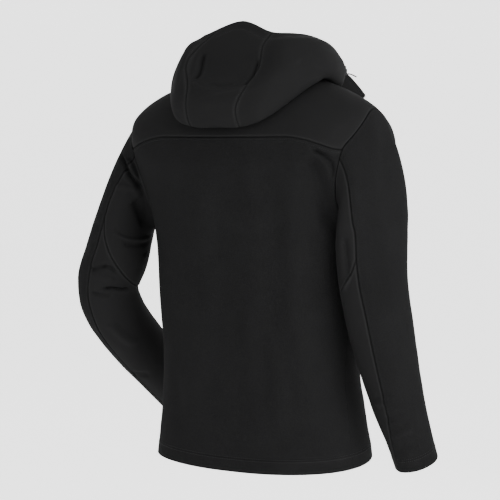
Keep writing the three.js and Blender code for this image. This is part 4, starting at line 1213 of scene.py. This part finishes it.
def makeTeeth():
    chainPoints, chainFaces = [], []
    above = zipShape["sliderHigh"] + zipShape["sliderClear"]
    below = zipShape["sliderHigh"] - zipShape["sliderClear"]
    for sideName, sign in (("left", 1), ("right", -1)):
        edge, toward, out = edgeFrames(sign)
        points, faces = [], []
        phase = 1.0 + (zipShape["toothPitch"] / 2 if sign > 0 else 0)
        for place, t, d, n in spacedFrames(edge, toward, out, math.inf, above, phase):
            addTooth(points, faces, place + t * zipShape["openFrom"], t, d, n, zipShape["openTooth"])
        makeMesh("zipTeeth_" + sideName, points, faces, "zipTeeth", "zip_teeth",
                 nodes=["zip_teeth_" + sideName])
        across = np.array((-sign, 0, 0), float)
        for place, t, d, n in spacedFrames(edge, toward, out, below, -math.inf, phase):
            start = np.array((sign * zipShape["closedFrom"], place[1], place[2]))
            level = unit(np.array((0, n[1], n[2])))
            addTooth(chainPoints, chainFaces, start, across, d, level, zipShape["closedTooth"])
    makeMesh("zipChain", chainPoints, chainFaces, "zipTeeth", "zip_teeth", nodes=["zip_chain"])


for sideName, sign in (("left", 1), ("right", -1)):
    makeTape(sideName, sign)
makeTeeth()
for node in ("zip_slider", "zip_tab"):
    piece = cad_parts[node]
    piece.data.materials.clear()
    piece.data.materials.append(materials["zipMetal"])
print("zip ready")


# Stage: a pale floor where a wearer's feet would be, curved up into a backdrop, and soft lamps

stageLook = {"floor": -1.46, "half": 45, "bendFrom": 5, "bend": 2.5, "top": 9,
             "tone": 0.95, "glow": 1.1, "room": 1.1}


def makeStage():
    points = []
    turn = math.radians(cameraView["behind"])
    away = np.array((math.sin(turn), -math.cos(turn), 0))
    side = np.array((math.cos(turn), math.sin(turn), 0))
    half, near, bend = stageLook["half"], stageLook["bendFrom"], stageLook["bend"]
    profile = [(-half, 0), (near, 0)]
    for a in np.linspace(0.1, math.pi / 2, 12):
        profile.append((near + bend * math.sin(a), bend - bend * math.cos(a)))
    profile.append((near + bend, stageLook["top"]))
    for along, high in profile:
        for s in (-half, half):
            points.append(tuple(away * along + side * s + (0, 0, stageLook["floor"] + high)))
    faces = [(2 * i, 2 * i + 1, 2 * i + 3, 2 * i + 2) for i in range(len(profile) - 1)]
    data = bpy.data.meshes.new("studioFloor")
    data.from_pydata(points, [], faces)
    data.polygons.foreach_set("use_smooth", [True] * len(faces))
    floor = bpy.data.objects.new("studioFloor", data)
    bpy.context.collection.objects.link(floor)
    tone = stageLook["tone"]
    paper = startMaterial("studioPaper", {
        "Base Color": (tone, tone, tone, 1), "Roughness": 0.9, "Specular IOR Level": 0.1,
        "Emission Color": (1, 1, 1, 1), "Emission Strength": stageLook["glow"]})[0]
    data.materials.append(paper)


lampLooks = {
    "keyRight": {"at": (-3.2, 0.9, 1.3), "size": 2.4, "power": 185},
    "fillLeft": {"at": (1.7, 3.1, 0.7), "size": 2.6, "power": 14},
    "topSoft": {"at": (-0.4, 0.6, 2.6), "size": 3.0, "power": 16},
    "frontSoft": {"at": (0.6, -3.2, 1.0), "size": 2.6, "power": 34},
}
lampAim = (0, 0, -0.35)


def makeLamps():
    for name, look in lampLooks.items():
        data = bpy.data.lights.new(name, "AREA")
        data.size = look["size"]
        data.energy = look["power"]
        lamp = bpy.data.objects.new(name, data)
        bpy.context.collection.objects.link(lamp)
        lamp.location = look["at"]
        lamp.rotation_euler = (Vector(lampAim) - lamp.location).to_track_quat("-Z", "Y").to_euler()
    world = bpy.data.worlds.new("studioRoom")
    bpy.context.scene.world = world
    world.use_nodes = True
    background = world.node_tree.nodes["Background"]
    background.inputs["Color"].default_value = (1, 1, 1, 1)
    background.inputs["Strength"].default_value = stageLook["room"]


makeStage()
makeLamps()
print("stage ready")
